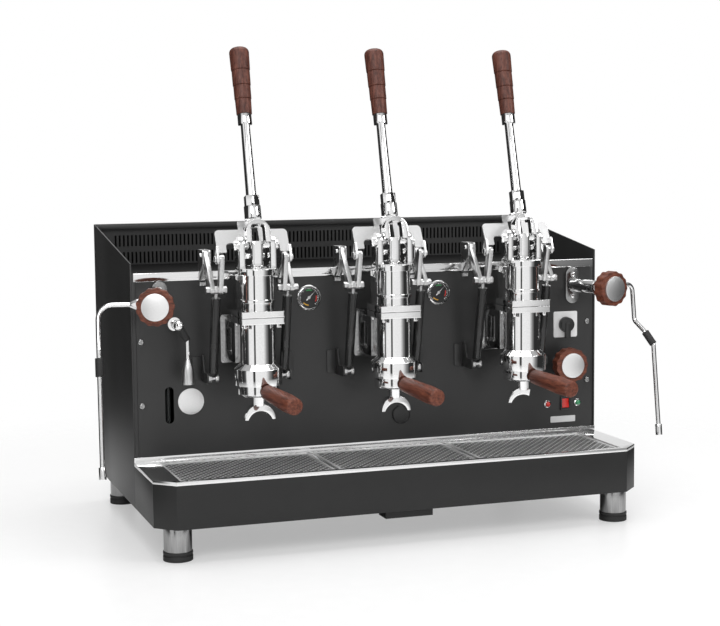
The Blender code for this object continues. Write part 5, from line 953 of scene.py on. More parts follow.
def yoke():
    """The plate behind the fork, with its window for the crosshead and a flange at each side."""
    thickness, leg_width, bridge_low, bridge_top = 0.004, 0.020, 0.0193, 0.0465
    window_half, hump_half, corner, small, depth, eye_radius = 0.014, 0.024, 0.008, 0.002, 0.026, 0.0095
    y, z = YOKE_FOOT
    leg, edge = YOKE_HALF_WIDTH - leg_width, YOKE_HALF_WIDTH - YOKE_FLANGE_SHEET / 2
    right = [(window_half, YOKE_HUMP_LOW), (window_half, bridge_low), (leg, bridge_low), (leg, 0),
             (edge, 0), (edge, bridge_top), (hump_half, bridge_top), (hump_half, YOKE_HUMP_TOP)]
    left = [(-u, v) for u, v in reversed(right)]
    corners = [small, small, corner, small, small, corner, small, small]
    body = plate(rounded(right + left, corners * 2), thickness, plane_at(case(0, y, z), X_AXIS, YOKE_UP))
    top = (y + YOKE_UP.y * bridge_top, z + YOKE_UP.z * bridge_top - corner)
    flange = rounded([(y - thickness / 2, z), top, (top[0] + depth * YOKE_UP.z, top[1] - depth * YOKE_UP.y),
                      (LINK_TOP[0] + eye_radius, LINK_TOP[1] + eye_radius / 2)], [0, 0, corner, 0], 2)
    eye = strap(LINK_TOP, (y, z + eye_radius), eye_radius, SMALL, thickness)
    flanges = []
    for side in SIDES:
        inner, outer = side * (YOKE_HALF_WIDTH - YOKE_FLANGE_SHEET), side * YOKE_HALF_WIDTH
        raised, over = side * LOBE_RAISE, side * OVERRUN
        flanges.append(cut(fused(side_plate(flange, inner, outer),
                                 side_plate(eye, inner - raised, outer + raised)),
                           rod_x(inner - over, outer + over, *LINK_TOP, bore_for(LINK_PIN_RADIUS))))
    return paint("cap_disc", body, *flanges)


def lever():
    """Fork and yoke, joined by the lug behind the fork."""
    half = 0.008
    hump = case(0, *YOKE_FOOT) + YOKE_UP * (YOKE_HUMP_LOW + YOKE_HUMP_TOP) / 2
    reach = -(LEVER.inverted() @ hump).z
    lug = plate(rectangle(-half, half, FORK_WINDOW_TOP + OVERRUN / 2, FORK_TOP - SEAT), reach,
                LEVER @ Matrix.Translation((0, 0, -reach / 2)))
    return fused(*fork(), yoke(), lug)


def lever_grip():
    """The turned wooden grip, stepped at its three fine grooves."""
    top, low_radius, high_radius, crown = 0.3835, 0.01475, 0.019, 0.010
    groove_depth, groove_half, step, shares = 0.0016, 0.0009, 0.0004, (0.24, 0.46, 0.71)
    profile = [(0, top), *arc((high_radius - crown, top - crown), crown, pi / 2, -pi / 2, CORNER_STEPS)[1:]]
    for share in reversed(shares):
        radius = low_radius + (high_radius - low_radius) * share
        middle = GRIP_LOW + (top - crown - GRIP_LOW) * share
        profile += [(radius + step, middle + groove_half), (radius - groove_depth, middle),
                    (radius - step, middle - groove_half)]
    return turned(profile + [(low_radius, GRIP_LOW), (0, GRIP_LOW)], AXLE, LEVER_UP, MIDDLE)


def piston_rod():
    """Crosshead with its slot for the lever pin, rod and piston."""
    across, small, side_relief, end_relief = 0.0115, 0.003, 0.0013, 0.0008
    piston_low, piston_top, piston_gap = 0.264, 0.290, 0.0003
    front, step, back = AXLE_Y - 0.018, AXLE_Y + 0.010, AXLE_Y + 0.044
    low, step_z, top = AXLE_Z - 0.039, AXLE_Z - 0.009, AXLE_Z + 0.008
    pin_y, pin_z = CRANK_PIN
    near, far = pin_y - CRANK_PIN_RADIUS - end_relief, AXLE_Y + CRANK + CRANK_PIN_RADIUS + end_relief
    half, wide = CRANK_PIN_RADIUS + side_relief, across + OVERRUN
    plan = rounded([(-across, back), (-across, front), (across, front), (across, back)],
                   [small, 2 * small, 2 * small, small])
    slot = side_plate(rounded(rectangle(near, far, pin_z - half, pin_z + half), small, 2), -wide, wide,
                      edge=0)
    notch = bar(-wide, wide, step, back + OVERRUN, step_z, top + OVERRUN)
    head = softened(cut(flat_plate(plan, low, top, edge=small), slot, notch), EDGE)
    profile = stack(piston_low, (ROD_RADIUS, low + OVERRUN), (CYLINDER_BORE - piston_gap, piston_top))
    return fused(head, turned(profile, case(0, -GROUP_REACH, 0)))


def swing_link():
    """The outer link, hung from the bracket, with its nut at the common joint."""
    hole = circle(SWING_PIVOT, bore_for(LINK_PIN_RADIUS), SMALL)
    body = side_plate(strap(SWING_PIVOT, COMMON, LINK_RADIUS, SMALL), SWING_INNER_X, SWING_OUTER_X, [hole])
    nut = rod_x(SWING_OUTER_X - SEAT, SWING_OUTER_X + LINK_NUT_LENGTH, *COMMON, LINK_NUT_RADIUS, HEXAGON)
    return fused(body, nut)


def pull_link():
    """The inner link, hung from the yoke by its own pin."""
    inner, outer = 0.058, 0.0662
    flange = YOKE_HALF_WIDTH - YOKE_FLANGE_SHEET - LOBE_RAISE - SEAT
    head = YOKE_HALF_WIDTH + LOBE_RAISE + SEAT
    end = head + YOKE_FLANGE_SHEET
    return fused(side_plate(strap(LINK_TOP, COMMON, LINK_RADIUS, SMALL), inner, outer),
                 rod_x(inner - LINK_NUT_LENGTH, inner + SEAT, *COMMON, LINK_NUT_RADIUS, HEXAGON),
                 rod_x(outer - SEAT, flange, *LINK_TOP, LINK_NUT_RADIUS),
                 rod_x(outer - SEAT, end, *LINK_TOP, LINK_PIN_RADIUS),
                 rod_x(head, end, *LINK_TOP, LINK_WAIST_RADIUS))


def eye(pivot):
    return rod_x(STRUT_X - STRUT_EYE_HALF, STRUT_X + STRUT_EYE_HALF, *pivot, STRUT_EYE_RADIUS)


def strut_tube():
    """The damper's body with its bore and the eye at its foot."""
    low, top, radius, bore, bore_low = 0.012, 0.160, 0.009, 0.004, 0.025
    body = turned([(0, bore_low), (bore, bore_low), (bore, top), (radius, top), (radius, low), (0, low)],
                  STRUT_LOW, STRUT_UP, SMALL)
    neck = rod(STRUT_LOW, STRUT_LOW + STRUT_UP * (low + OVERRUN), STRUT_EYE_HALF, SMALL)
    reach = STRUT_EYE_HALF + OVERRUN
    hole = rod_x(STRUT_X - reach, STRUT_X + reach, *STRUT_FOOT, bore_for(LINK_PIN_RADIUS))
    return cut(fused(body, neck, eye(STRUT_FOOT)), hole)


def strut_rod():
    """The damper's rod, which ends in the eye at the common joint."""
    low, radius = 0.030, 0.0036
    return fused(rod(STRUT_LOW + STRUT_UP * low, STRUT_TOP, radius, HEXAGON), eye(COMMON))


def upper_bracket():
    """Two cheeks and a web on the panel, with the pin on which the swing link turns."""
    sheet, reach, low, foot_z, top, nose_z = 0.0035, 0.040, 0.4305, 0.424, 0.494, 0.468
    face = -SEAT - TRIM_SHEET - SEAT
    outline = rounded([(face, low), (face, top), (-reach, top), (-reach, nose_z)],
                      [0, 0, LINK_WAIST_RADIUS, 0])
    inner, outer = SWING_INNER_X - SEAT, SWING_OUTER_X + SEAT
    x1, x2 = inner - sheet / 2, outer + sheet / 2
    pin = rod_x(x1, outer + 2 * sheet, *SWING_PIVOT, LINK_PIN_RADIUS)
    cheeks = paint("steel_across", side_plate(outline, inner - sheet, inner),
                   side_plate(outline, outer, outer + sheet), bar(x1, x2, face - sheet, face, low, top),
                   bar(x1, x2, face - sheet, SHEET / 2, foot_z, DECK_HEIGHT - TRIM_DROP - SEAT))
    return fused(cheeks, paint("chrome", pin))


def lower_bracket():
    """The plate that carries a damper's foot on its pin, between two collars."""
    x, sheet, top, nose, strip, reach = 0.0805, 0.003, 0.290, 0.010, 0.012, 0.018
    y, z = STRUT_FOOT
    outline = rounded([(SHEET / 2, z - nose), (SHEET / 2, top), (-strip, top), (-2 * strip, z + nose),
                       (y - nose, z + nose), (y - nose, z - nose)], [0, 0, 0, 0, strip / 2, strip / 2])
    outer = x + sheet
    flange = bar(outer - SEAT, outer + reach, -sheet, SHEET / 2, z - nose + sheet, top - sheet)
    eye_inner, eye_outer = STRUT_X - STRUT_EYE_HALF - SEAT, STRUT_X + STRUT_EYE_HALF + SEAT
    end = eye_inner - LINK_WAIST_RADIUS
    return fused(paint("paint", side_plate(outline, x, outer), flange),
                 paint("steel", rod_x(eye_outer, x + SEAT, y, z, STRUT_EYE_RADIUS),
                       rod_x(end, outer - SEAT, y, z, LINK_PIN_RADIUS),
                       rod_x(end, eye_inner, y, z, STRUT_EYE_RADIUS)))


def portafilter(spout_turn):
    """Bowl with its rim in the bell, spout stem, crescent spout, and the handle on its neck."""
    bowl, bowl_low, easing, stem, stem_low = 0.0398, 0.2236, 0.003, 0.0125, 0.203
    outer_radius, inner_radius, drop, spout_z = 0.0295, 0.0245, 0.008, 0.1775
    depth, edge, single_start, neck_radius = 0.020, 0.002, radians(62), 0.0067
    top = BELL_LOW_Z - SEAT
    cup = turned([(0, RIM_TOP_Z), (RIM_RADIUS, RIM_TOP_Z), (RIM_RADIUS, top), (bowl, top),
                  (bowl, bowl_low + easing), (bowl - easing, bowl_low), (stem, bowl_low - easing),
                  (stem, stem_low), (0, stem_low)], case(0, -GROUP_REACH, 0))
    half, first, tip = ROUND // 2, single_start if spout_turn else 0.0, asin(drop / inner_radius)
    crescent = (arc((0, 0), outer_radius, first, pi - first, half)
                + arc((0, -drop), inner_radius, pi - tip, max(tip, first) - pi + tip, half))
    across = Matrix.Rotation(spout_turn, 3, "Z") @ X_AXIS
    spout = plate(crescent, depth, plane_at(case(0, -GROUP_REACH, spout_z), across, Z_AXIS))
    neck = rod(HANDLE_ROOT + HANDLE_WAY * RIM_RADIUS, HANDLE_ROOT + HANDLE_WAY * (HANDLE_LOW + OVERRUN),
               neck_radius, SMALL)
    return fused(cup, softened(spout, edge), neck, portafilter_handle())


def portafilter_handle():
    """The turned wooden handle, thickest near its end."""
    top, low_radius, swell_radius, end_radius, share, crown = 0.186, 0.0145, 0.017, 0.0158, 0.72, 0.003
    swell = HANDLE_LOW + (top - HANDLE_LOW) * share
    profile = [(0, top), (end_radius - crown, top), (end_radius, top - crown), (swell_radius, swell),
               ((swell_radius + low_radius) / 2, (swell + HANDLE_LOW) / 2), (low_radius, HANDLE_LOW),
               (0, HANDLE_LOW)]
    return paint("wood_out", turned(profile, HANDLE_ROOT, HANDLE_WAY, MIDDLE))


def groups():
    """Each group is a copy of the one at the middle, apart from the third one's single spout."""
    shared = [("group_body", "machine", "polished", "chrome", group_body()),
              ("lever", "lever", "polished", "chrome", lever()),
              ("lever_grip", "lever", "walnut", "wood_up", lever_grip()),
              ("piston_rod", "piston", "polished", "chrome", piston_rod())]
    links = [("swing_link", "swing", "brushed", "steel", swing_link()),
             ("pull_link", "pull", "brushed", "steel", pull_link()),
             ("strut_tube", "strut", "black_paint", "paint_gloss", strut_tube()),
             ("strut_rod", "strut_rod", "brushed", "steel", strut_rod())]
    for number, x in enumerate(GROUPS_X, 1):
        for title, body, slot, look, piece in shared:
            rider = body if body == "machine" else f"{body}_{number}"
            dress(f"fine_{title}_{number}", rider, slot, look, [f"{title}_{number}"], copied(piece, x))
        filled = moved(portafilter(SPOUT_TURNS[number - 1]), Matrix.Translation((x, 0, 0)))
        name = f"portafilter_{number}"
        dress("fine_" + name, name, "polished", "chrome", [name], filled)
        for title, body, slot, look, piece in links:
            nodes = [f"{title}_{number}_{hand}" for hand in ("left", "right")]
            dress(f"fine_{title}_{number}", f"{body}_{number}", slot, look, nodes,
                  copied(piece, x), copied(piece, x, flip=True))
    discard(*[row[-1] for row in shared + links])


def panel_brackets():
    """The two brackets at each side of each group."""
    right = [upper_bracket(), lower_bracket()]
    pieces = [copied(bracket, x, flip) for x in GROUPS_X for bracket in right for flip in (False, True)]
    discard(*right)
    return pieces


# Sight glass, selector, rocker switch and lamps on the front panel
SIGHT_X = -0.419
SIGHT_LOW_Z = 0.160
SIGHT_HIGH_Z = 0.231
SIGHT_WIDTH = 0.017
SELECTOR_X = 0.421
SELECTOR_Z = 0.316
SELECTOR_SHEET = 0.002
SELECTOR_SHAFT = 0.003
LAMP_Z = 0.150
ROCKER_X = 0.4216
ROCKER_HALF_WIDTH = 0.0115
ROCKER_HALF_HEIGHT = 0.014
ROCKER_WALL = 0.0034

# Steam valves, splayed outward, and the unions on which the wands turn
VALVE_X = 0.435
VALVE_Z = 0.3975
VALVE_SPLAY = radians(15)
VALVE_STEM_RADIUS = 0.0045
UNION_REACH = 0.065
UNION_LENGTH = 0.034
KNOB_LOW = 0.108
KNOB_SOCKET_DEPTH = 0.0125

# Each wand: side, radius of its bends, its points from the bend at the union, and where its
# rubber sleeve lies: after which point, and from and to which share of the way to the next
WANDS = {
    "left": (-1, 0.028, ((-0.0045, -0.028, -0.0795), (-0.011, -0.074, -0.3145)), 2, (0.0685, 0.213)),
    "right": (1, 0.014, ((0.001, -0.010, -0.0755), (0.013, -0.034, -0.0975), (0.026, -0.046, -0.1225),
                         (0.024, -0.076, -0.3075)), 3, (0.0, 1.0)),
}

# Hot water: its valve on the right, its outlet and swivelling spout on the left
WATER_X = 0.410
WATER_Z = 0.2365
WATER_KNOB_LOW = 0.035
OUTLET_X = -0.408
OUTLET_Z = 0.353
OUTLET_TOP = 0.0357


def dial_face(plane, sheet):
    """The printed scale: fine ticks round three quarters of the dial, and three coloured bands."""
    tick_inner, tick_outer, tick_half, count, sweep = 0.0168, 0.0195, 0.0006, 25, radians(270)
    band_inner, band_outer, steps = 0.0140, 0.0160, 12
    first, band = pi / 2 - sweep / 2, sweep / 6
    ticks = []
    for k in range(count):
        inner = tick_inner if k % 4 == 0 else (tick_inner + tick_outer) / 2
        turn = Matrix.Rotation(first + sweep * k / (count - 1), 4, "Z")
        ticks.append(plate(rectangle(inner, tick_outer, -tick_half, tick_half), sheet, plane @ turn))
    pieces = [paint("white", *ticks)]
    for look, place in (("red", 0.3), ("green", 2.5), ("amber", 5.9)):
        inner, outer = [arc((0, 0), radius, first + band * place, band, steps)
                        for radius in (band_inner, band_outer)]
        pieces.append(paint(look, plate(outer + inner[::-1], sheet, plane)))
    return pieces


def gauge(side):
    """A gauge's case with its bezel, sunk dial, printed scale and needle."""
    x, z, radius, bezel, proud, dial = side * 0.137, 0.393, 0.025, 0.0035, 0.005, 0.0025
    body_radius, body_depth, print_sheet = 0.023, 0.022, 0.0003
    length, half_width, hub, thickness, turn = 0.015, 0.0012, 0.003, 0.001, radians(45)
    lip, under = radius - bezel, dial - print_sheet
    body = turned([(lip, dial), (lip, proud), (radius, proud / 2), (radius, -SEAT), (body_radius, -SEAT),
                   (body_radius, -body_depth), (0, -body_depth), (0, under), (lip, under)],
                  case(x, 0, z), -Y_AXIS)
    disc = rod_y(x, -SEAT, -dial, z, lip)
    pivot = rod_y(x, -dial + SEAT, -dial - thickness - SEAT, z, hub, SMALL)
    plane = plane_at(case(x, -dial - thickness / 2, z), X_AXIS, Z_AXIS) @ Matrix.Rotation(turn, 4, "Z")
    needle = plate([(-length / 2, -half_width), (length, 0), (-length / 2, half_width)], thickness / 2,
                   plane)
    scale = dial_face(plane_at(case(x, -dial - print_sheet / 2, z), X_AXIS, Z_AXIS), print_sheet)
    return fused(paint("chrome", body), paint("dial", disc), paint("steel", pivot), paint("white", needle),
                 *scale)


def bare_plates():
    """The round badge at the lower left of the panel and the label under the lamps, both bare."""
    badge_radius, badge_sheet, sheet = 0.0255, 0.0015, 0.0008
    badge = turned(stack(0, (badge_radius, badge_sheet)), case(-0.377, 0, 0.201), -Y_AXIS)
    outline = rounded(rectangle(0.388, 0.445, 0.110, 0.123), 2 * sheet)
    return [paint("cap_disc", badge), paint("plate", front_plate(outline, -sheet, 0, edge=sheet / 4))]


def sight_glass():
    """The glass behind the slot, held by a fitting at each end."""
    y, radius, fitting, height = SHEET + 0.011, 0.005, 0.008, 0.012
    pieces = []
    for z, way in ((SIGHT_LOW_Z, -1), (SIGHT_HIGH_Z, 1)):
        near = z + way * SIGHT_WIDTH / 2
        far = near + way * height
        pieces += [rod_z(SIGHT_X, y, near, far, fitting, SMALL),
                   bar(SIGHT_X - radius, SIGHT_X + radius, SHEET / 2, y, min(near, far) + SEAT,
                       max(near, far) - SEAT)]
    glass = rod_z(SIGHT_X, y, SIGHT_LOW_Z - SIGHT_WIDTH, SIGHT_HIGH_Z + SIGHT_WIDTH, radius)
    return fused(paint("chrome", *pieces), paint("glass", glass))


def selector_hole():
    return circle((SELECTOR_X, SELECTOR_Z), bore_for(SELECTOR_SHAFT), SMALL)


def switch_plate():
    """The selector's square plate and the rocker switch's housing."""
    half, corner, lip, proud, depth = 0.027, 0.003, 0.0015, 0.003, 0.016
    square = front_plate(rounded(oblong(SELECTOR_X, SELECTOR_Z, half, half), corner, 2),
                         -SEAT - SELECTOR_SHEET, SHEET / 2, [selector_hole()])
    blocks = []
    for inset, y1, y2 in ((0, -SEAT - proud, SHEET / 2), (lip, -proud / 2, depth),
                          (ROCKER_WALL, -proud - OVERRUN, depth - OVERRUN)):
        width, height = ROCKER_HALF_WIDTH - inset, ROCKER_HALF_HEIGHT - inset
        blocks.append(bar(ROCKER_X - width, ROCKER_X + width, y1, y2, LAMP_Z - height, LAMP_Z + height))
    bezel, body, hollow = blocks
    return fused(paint("white", square), paint("plastic", cut(fused(bezel, body), hollow)))


def rocker_paddle():
    """The paddle, tipped at rest, with a valley between its two raised ends."""
    deep, valley, tip, gap = 0.003, 0.0018, radians(-7), 0.0009
    half_h, half_w = ROCKER_HALF_HEIGHT - ROCKER_WALL - gap, ROCKER_HALF_WIDTH - ROCKER_WALL - SEAT
    shape = [(deep, -half_h), (-deep, -half_h), (-valley, 0), (-deep, half_h), (deep, half_h)]
    outline = [(y * cos(tip) - z * sin(tip), LAMP_Z + y * sin(tip) + z * cos(tip)) for y, z in shape]
    return side_plate(outline, ROCKER_X - half_w, ROCKER_X + half_w)


def selector_knob():
    """The selector with its skirt, raised grip and shaft."""
    radius, skirt, height, shaft_depth = 0.016, 0.012, 0.014, 0.012
    half, top, reach = 0.0055, 0.004, 0.0275
    base = SEAT + SELECTOR_SHEET + SEAT
    disc = turned([(0, base + skirt), (radius - half / 4, base + skirt), (radius, base),
                   (SELECTOR_SHAFT, base), (SELECTOR_SHAFT, -shaft_depth), (0, -shaft_depth)],
                  case(SELECTOR_X, 0, SELECTOR_Z), -Y_AXIS)
    outline = rectangle(SELECTOR_X - half, SELECTOR_X + half, SELECTOR_Z - reach, SELECTOR_Z + top)
    return fused(disc, front_plate(rounded(outline, half / 2, 4), -base - height, -base - skirt / 2))


def lamp(side):
    """A round lens in its polished bezel, red on the left and green on the right."""
    middle_x, spread_x, radius, lens, stem, depth, half = 0.415, 0.0345, 0.008, 0.0055, 0.006, 0.014, 0.0035
    place = case(middle_x + side * spread_x, 0, LAMP_Z)
    ring = turned([(lens, half), (radius, half / 2), (radius, -SEAT), (stem, -SEAT), (stem, -depth),
                   (0, -depth)], place, -Y_AXIS)
    dome = [(lens * v, half + half * u) for u, v in arc((0, 0), 1, 0, pi / 2, 8)]
    glass = turned(dome + [(lens, 0), (0, 0)], place, -Y_AXIS, edge=0)
    return fused(paint("chrome", ring), paint("red_lens" if side < 0 else "green_lens", glass))


def panel_button(x, z, radius, height, sides):
    profile = [(0, height), (radius - height / 2, height), (radius, height / 2), (radius, -SEAT),
               (0, -SEAT)]
    return turned(profile, case(x, 0, z), -Y_AXIS, sides)


def panel_fixings():
    """The plug under the middle group and the four screws with their crossed slots."""
    pieces = [paint("plastic", panel_button(0.055, 0.149, 0.019, 0.004, ROUND))]
    radius, height, share = 0.006, 0.003, 0.62
    for x in (-0.472, 0.472):
        for z in (0.197, 0.320):
            cross = [bar(x - u, x + u, -height - OVERRUN, -height / 2, z - v, z + v)
                     for u, v in ((radius * share, height / 4), (height / 4, radius * share))]
            pieces.append(paint("leg_steel", cut(panel_button(x, z, radius, height, SMALL), *cross)))
    return pieces


def valve_axes(side):
    """A steam valve's foot, its splayed axis and the direction of its union."""
    return (case(side * VALVE_X, 0, VALVE_Z), Vector((side * sin(VALVE_SPLAY), -cos(VALVE_SPLAY), 0)),
            Vector((side * cos(VALVE_SPLAY), sin(VALVE_SPLAY), 0)))


def steam_valve(side):
    """Flange, body, bonnet, stem and the branch that carries the wand."""
    radius, half, thickness, bolt_radius, bolt_height = 0.015, 0.0225, 0.006, 0.005, 0.0035
    union_radius = 0.010
    foot_place, out, branch = valve_axes(side)
    x, ends = side * VALVE_X, (VALVE_Z - half, VALVE_Z + half)
    flange = front_plate(strap(*[(x, z) for z in ends], radius), -thickness, SHEET / 2)
    bolts = [rod_y(x, -thickness / 2, -thickness - bolt_height, z, bolt_radius, HEXAGON) for z in ends]
    body = turned(stack(0.008, (VALVE_STEM_RADIUS, 0.120), (0.0105, 0.103), (0.014, 0.080)), foot_place,
                  out, MIDDLE)
    start = foot_place + out * UNION_REACH
    arm = rod(start, start + branch * UNION_LENGTH, union_radius, SMALL)
    return fused(paint("cast", flange), paint("chrome", body, arm, *bolts))


def knob(foot_place, out, low):
    """A lobed hand wheel with its raised cap and the socket for the stem."""
    radius, lobe, lobes, thickness, edge, cap_radius, rise = 0.0345, 0.001, 13, 0.022, 0.003, 0.0253, 0.004
    steps = lobes * 12
    angles = [2 * pi * k / steps for k in range(steps)]
    outline = [((radius + lobe * cos(lobes * a)) * cos(a), (radius + lobe * cos(lobes * a)) * sin(a))
               for a in angles]
    plane = plane_at(foot_place + out * (low + thickness / 2), Z_AXIS.cross(out).normalized(), Z_AXIS)
    wheel = softened(plate(outline, thickness, plane), edge, 4)
    top = low + thickness + rise
    cap = rod(foot_place + out * (top - 2 * rise), foot_place + out * top, cap_radius)
    socket = rod(foot_place + out * (low - OVERRUN), foot_place + out * (low + KNOB_SOCKET_DEPTH),
                 bore_for(VALVE_STEM_RADIUS), SMALL)
    return fused(paint("wood_across", cut(wheel, socket)), paint("cap_disc", cap))


def wand(side, bend_radius, steps, sleeve_from, shares):
    """Union nut, bent tube, rubber sleeve and nozzle, all turning on the union's axis."""
    radius, nut_radius, nut_length, bend_reach, sleeve_radius = 0.0046, 0.012, 0.016, 0.110, 0.0076
    tip_radius, tip_length = 0.007, 0.022
    foot_place, out, branch = valve_axes(side)
    start = foot_place + out * UNION_REACH
    nut_low = start + branch * (UNION_LENGTH + SEAT)
    nut_top = nut_low + branch * nut_length
    bend = start + branch * bend_reach
    points = [nut_top - branch * OVERRUN, bend, *[bend + Vector(step) for step in steps]]
    sleeve = rod(*[points[sleeve_from].lerp(points[sleeve_from + 1], share) for share in shares],
                 sleeve_radius)
    last = (points[-1] - points[-2]).normalized()
    nozzle = rod(points[-1] - last * tip_length, points[-1] + last * SEAT, tip_radius, SMALL)
    return fused(paint("wand_steel", tube(bent(points, bend_radius), radius), nozzle),
                 paint("chrome", rod(nut_low, nut_top, nut_radius, SMALL, radius + SEAT * 2)),
                 paint("rubber", sleeve))


def water_fittings():
    """The hot-water valve's body with its stem, and the outlet with its flange and collar."""
    body, body_top = 0.013, 0.030
    flange, flange_top, neck, collar, collar_low = 0.013, 0.009, 0.0075, 0.010, 0.027
    valve = stack(-SEAT, (VALVE_STEM_RADIUS, WATER_KNOB_LOW + KNOB_SOCKET_DEPTH - SEAT), (body, body_top))
    outlet = stack(-SEAT, (collar, OUTLET_TOP), (neck, collar_low), (flange, flange_top))
    return paint("chrome", turned(valve, case(WATER_X, 0, WATER_Z), -Y_AXIS, MIDDLE),
                 turned(outlet, case(OUTLET_X, 0, OUTLET_Z), -Y_AXIS, MIDDLE))


def water_spout():
    """The swivel ball, the sleeved elbow, the tube and its bell-shaped nozzle."""
    x, ball_radius, radius, sleeve_radius, elbow_z = -0.392, 0.010, 0.0045, 0.0065, 0.325
    top, shoulder, low, nozzle, bore, bore_depth = 0.290, 0.266, 0.241, 0.0115, 0.0085, 0.012
    y = -OUTLET_TOP - SEAT - ball_radius
    centre, elbow = case(OUTLET_X, y, OUTLET_Z), case(x, y, elbow_z)
    ball = turned([(v, u) for u, v in arc((0, 0), ball_radius, 0, pi, 16)], centre, Y_AXIS, SMALL)
    line = rod_z(x, y, elbow_z + radius, top - OVERRUN, radius, SMALL)
    end = turned([(0, top), (radius + SEAT, top), (nozzle, shoulder), (nozzle, low), (bore, low),
                  (bore, low + bore_depth), (0, low + bore_depth)], case(x, y, 0), sides=MIDDLE)
    return fused(paint("rubber", rod(centre, elbow, sleeve_radius, SMALL)), paint("chrome", ball, line),
                 paint("steel", end))


def panel_fittings():
    """What is fixed to the front panel and doesn't move."""
    return [gauge(-1), gauge(1), sight_glass(), switch_plate(), lamp(-1), lamp(1), *panel_fixings(),
            *bare_plates(), steam_valve(-1), steam_valve(1), water_fittings()]


def controls():
    """What turns or tips on the front panel."""
    dress("rocker_paddle", "rocker_switch", "red_lens", "red_lens", ["rocker_switch"], rocker_paddle())
    dress("selector_dial", "selector_knob", "black_plastic", "plastic", ["selector_knob"], selector_knob())
    for name, (side, *shape) in WANDS.items():
        foot_place, out, _ = valve_axes(side)
        dress("wheel_" + name, "steam_knob_" + name, "walnut", "wood_across", ["steam_knob_" + name],
              knob(foot_place, out, KNOB_LOW))
        dress("wand_" + name, "steam_wand_" + name, "polished", "chrome", ["steam_wand_" + name],
              wand(side, *shape))
    dress("wheel_water", "water_knob", "walnut", "wood_across", ["water_knob"],
          knob(case(WATER_X, 0, WATER_Z), -Y_AXIS, WATER_KNOB_LOW))
    dress("swivel_spout", "water_spout", "polished", "chrome", ["water_spout"], water_spout())


# Camera, in casing places where the photograph was taken from, and its angles and lens
EYE = (-1.0450, -2.9560, 0.66817)
AZIMUTH = radians(-18.94)
ELEVATION = radians(5.67)
ROLL = radians(-0.55)
SENSOR = 36.0
LENS = 78.91

# Studio. The screens round it are (how far round, brightness), from the left by way of the front.
FLOOR_REACH = 1.6
FLOOR_DROP = 0.0005
FLOOR_GLOW = 0.4
CEILING = 0.5
CEILING_START = 0.45
CEILING_END = 0.8
SCREENS = ((0.0, 0.03), (0.03, 0.10), (0.05, 0.95), (0.132, 1.0), (0.142, 0.03), (0.162, 0.03),
           (0.172, 1.0), (0.31, 0.95), (0.36, 0.30), (0.41, 0.03), (0.62, 0.03), (0.66, 0.85),
           (0.735, 0.85), (0.76, 0.03), (0.98, 0.03))

# The soft lights: where each hangs, the point it faces, its width and height, and its watts
SOFTBOXES = (((-1.6, -3.0, 2.4), (0, 0, 0.4), 1.6, 1.4, 45), ((2.4, -2.2, 2.0), (0, 0, 0.4), 1.4, 1.4, 35),
             ((0.0, 0.2, 3.4), (0, 0, 0.3), 3.2, 2.4, 85))


def camera():
    back = Vector((sin(AZIMUTH) * cos(ELEVATION), -cos(AZIMUTH) * cos(ELEVATION), sin(ELEVATION)))
    right = Vector((cos(AZIMUTH), sin(AZIMUTH), 0))
    plane = plane_at(case(*EYE), right, back.cross(right)) @ Matrix.Rotation(ROLL, 4, "Z")
    data = bpy.data.cameras.new("camera")
    data.lens, data.sensor_width, data.clip_end = LENS, SENSOR, 50.0
    made = linked(data, "camera")
    made.matrix_world = plane
    bpy.context.scene.camera = made


def softbox(place, aim, width, height, power):
    data = bpy.data.lights.new("softbox", "AREA")
    data.shape = "RECTANGLE"
    data.size, data.size_y, data.energy = width, height, power
    way = (Vector(aim) - Vector(place)).normalized()
    turn = way.to_track_quat("-Z", "Y").to_matrix().to_4x4()
    linked(data, "softbox").matrix_world = Matrix.Translation(place) @ turn


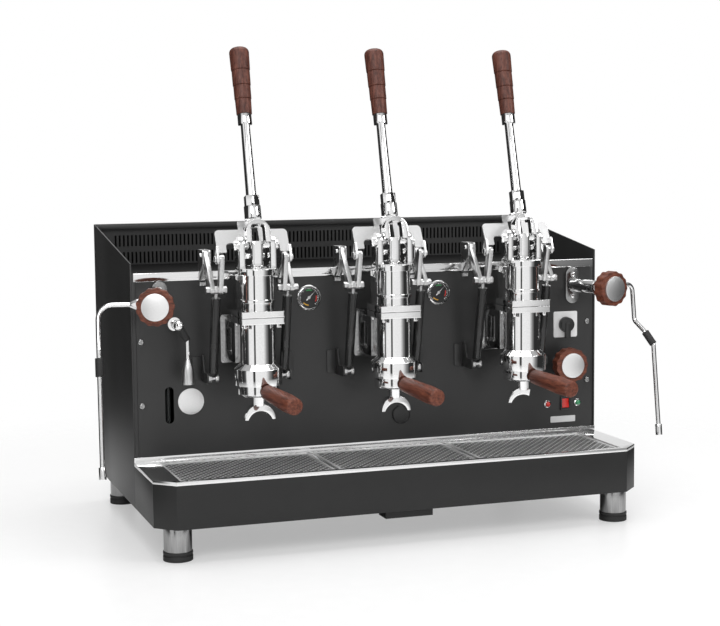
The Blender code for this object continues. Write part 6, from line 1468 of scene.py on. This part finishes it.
def world():
    """White behind the machine, and a studio of pale and dark screens in what it reflects."""
    made = bpy.data.worlds.new("studio")
    made.use_nodes = True
    tree = made.node_tree
    place = node(tree, "TexCoord")["Generated"]
    around = node(tree, "TexGradient", {"Vector": place}, gradient_type="RADIAL")["Fac"]
    height = node(tree, "SeparateXYZ", {"Vector": place})["Z"]
    overhead = node(tree, "MapRange", {"Value": height, "From Min": CEILING_START,
                                       "From Max": CEILING_END})["Result"]
    room = mix(tree, overhead, ramp(tree, around, *SCREENS), tone(CEILING))
    seen = mix(tree, node(tree, "LightPath")["Is Camera Ray"], room, tone(1.0))
    feed(tree, tree.nodes["Background"], {"Color": seen})
    bpy.context.scene.world = made


def floor():
    """A pale floor that keeps the machine's soft shadow and fades out into the white."""
    made, tree, shader = material("studio_floor")
    speckle = noise(tree, 30.0, detail=2.0)
    place = spatial(tree, (1 / FLOOR_REACH, 1 / FLOOR_REACH, 1))
    fade = node(tree, "TexGradient", {"Vector": place}, gradient_type="SPHERICAL")["Fac"]
    feed(tree, shader, {"Base Color": ramp(tree, speckle, (0.3, 0.88), (0.7, 0.90)),
                        "Roughness": spread(tree, speckle, 0.30, 0.38),
                        "Alpha": ramp(tree, fade, (0.05, 0.0), (0.55, 1.0))})
    glow = node(tree, "Math", {0: node(tree, "LightPath")["Is Camera Ray"], 1: FLOOR_GLOW},
                operation="MULTIPLY")[0]
    both = node(tree, "MixShader", {0: glow, 1: shader.outputs[0], 2: node(tree, "Emission")[0]})[0]
    feed(tree, tree.nodes["Material Output"], {"Surface": both})
    work = bmesh.new()
    bmesh.ops.create_circle(work, cap_ends=True, segments=ROUND, radius=FLOOR_REACH)
    bmesh.ops.translate(work, vec=(0, 0, -FLOOR_DROP), verts=work.verts)
    sheet = from_bmesh(work)
    sheet.name = "floor"
    sheet.data.materials.append(made)


def main():
    casing()
    drip_tray()
    groups()
    controls()
    camera()
    world()
    floor()
    for lit in SOFTBOXES:
        softbox(*lit)
    bpy.context.scene.view_settings.view_transform = "Standard"


main()
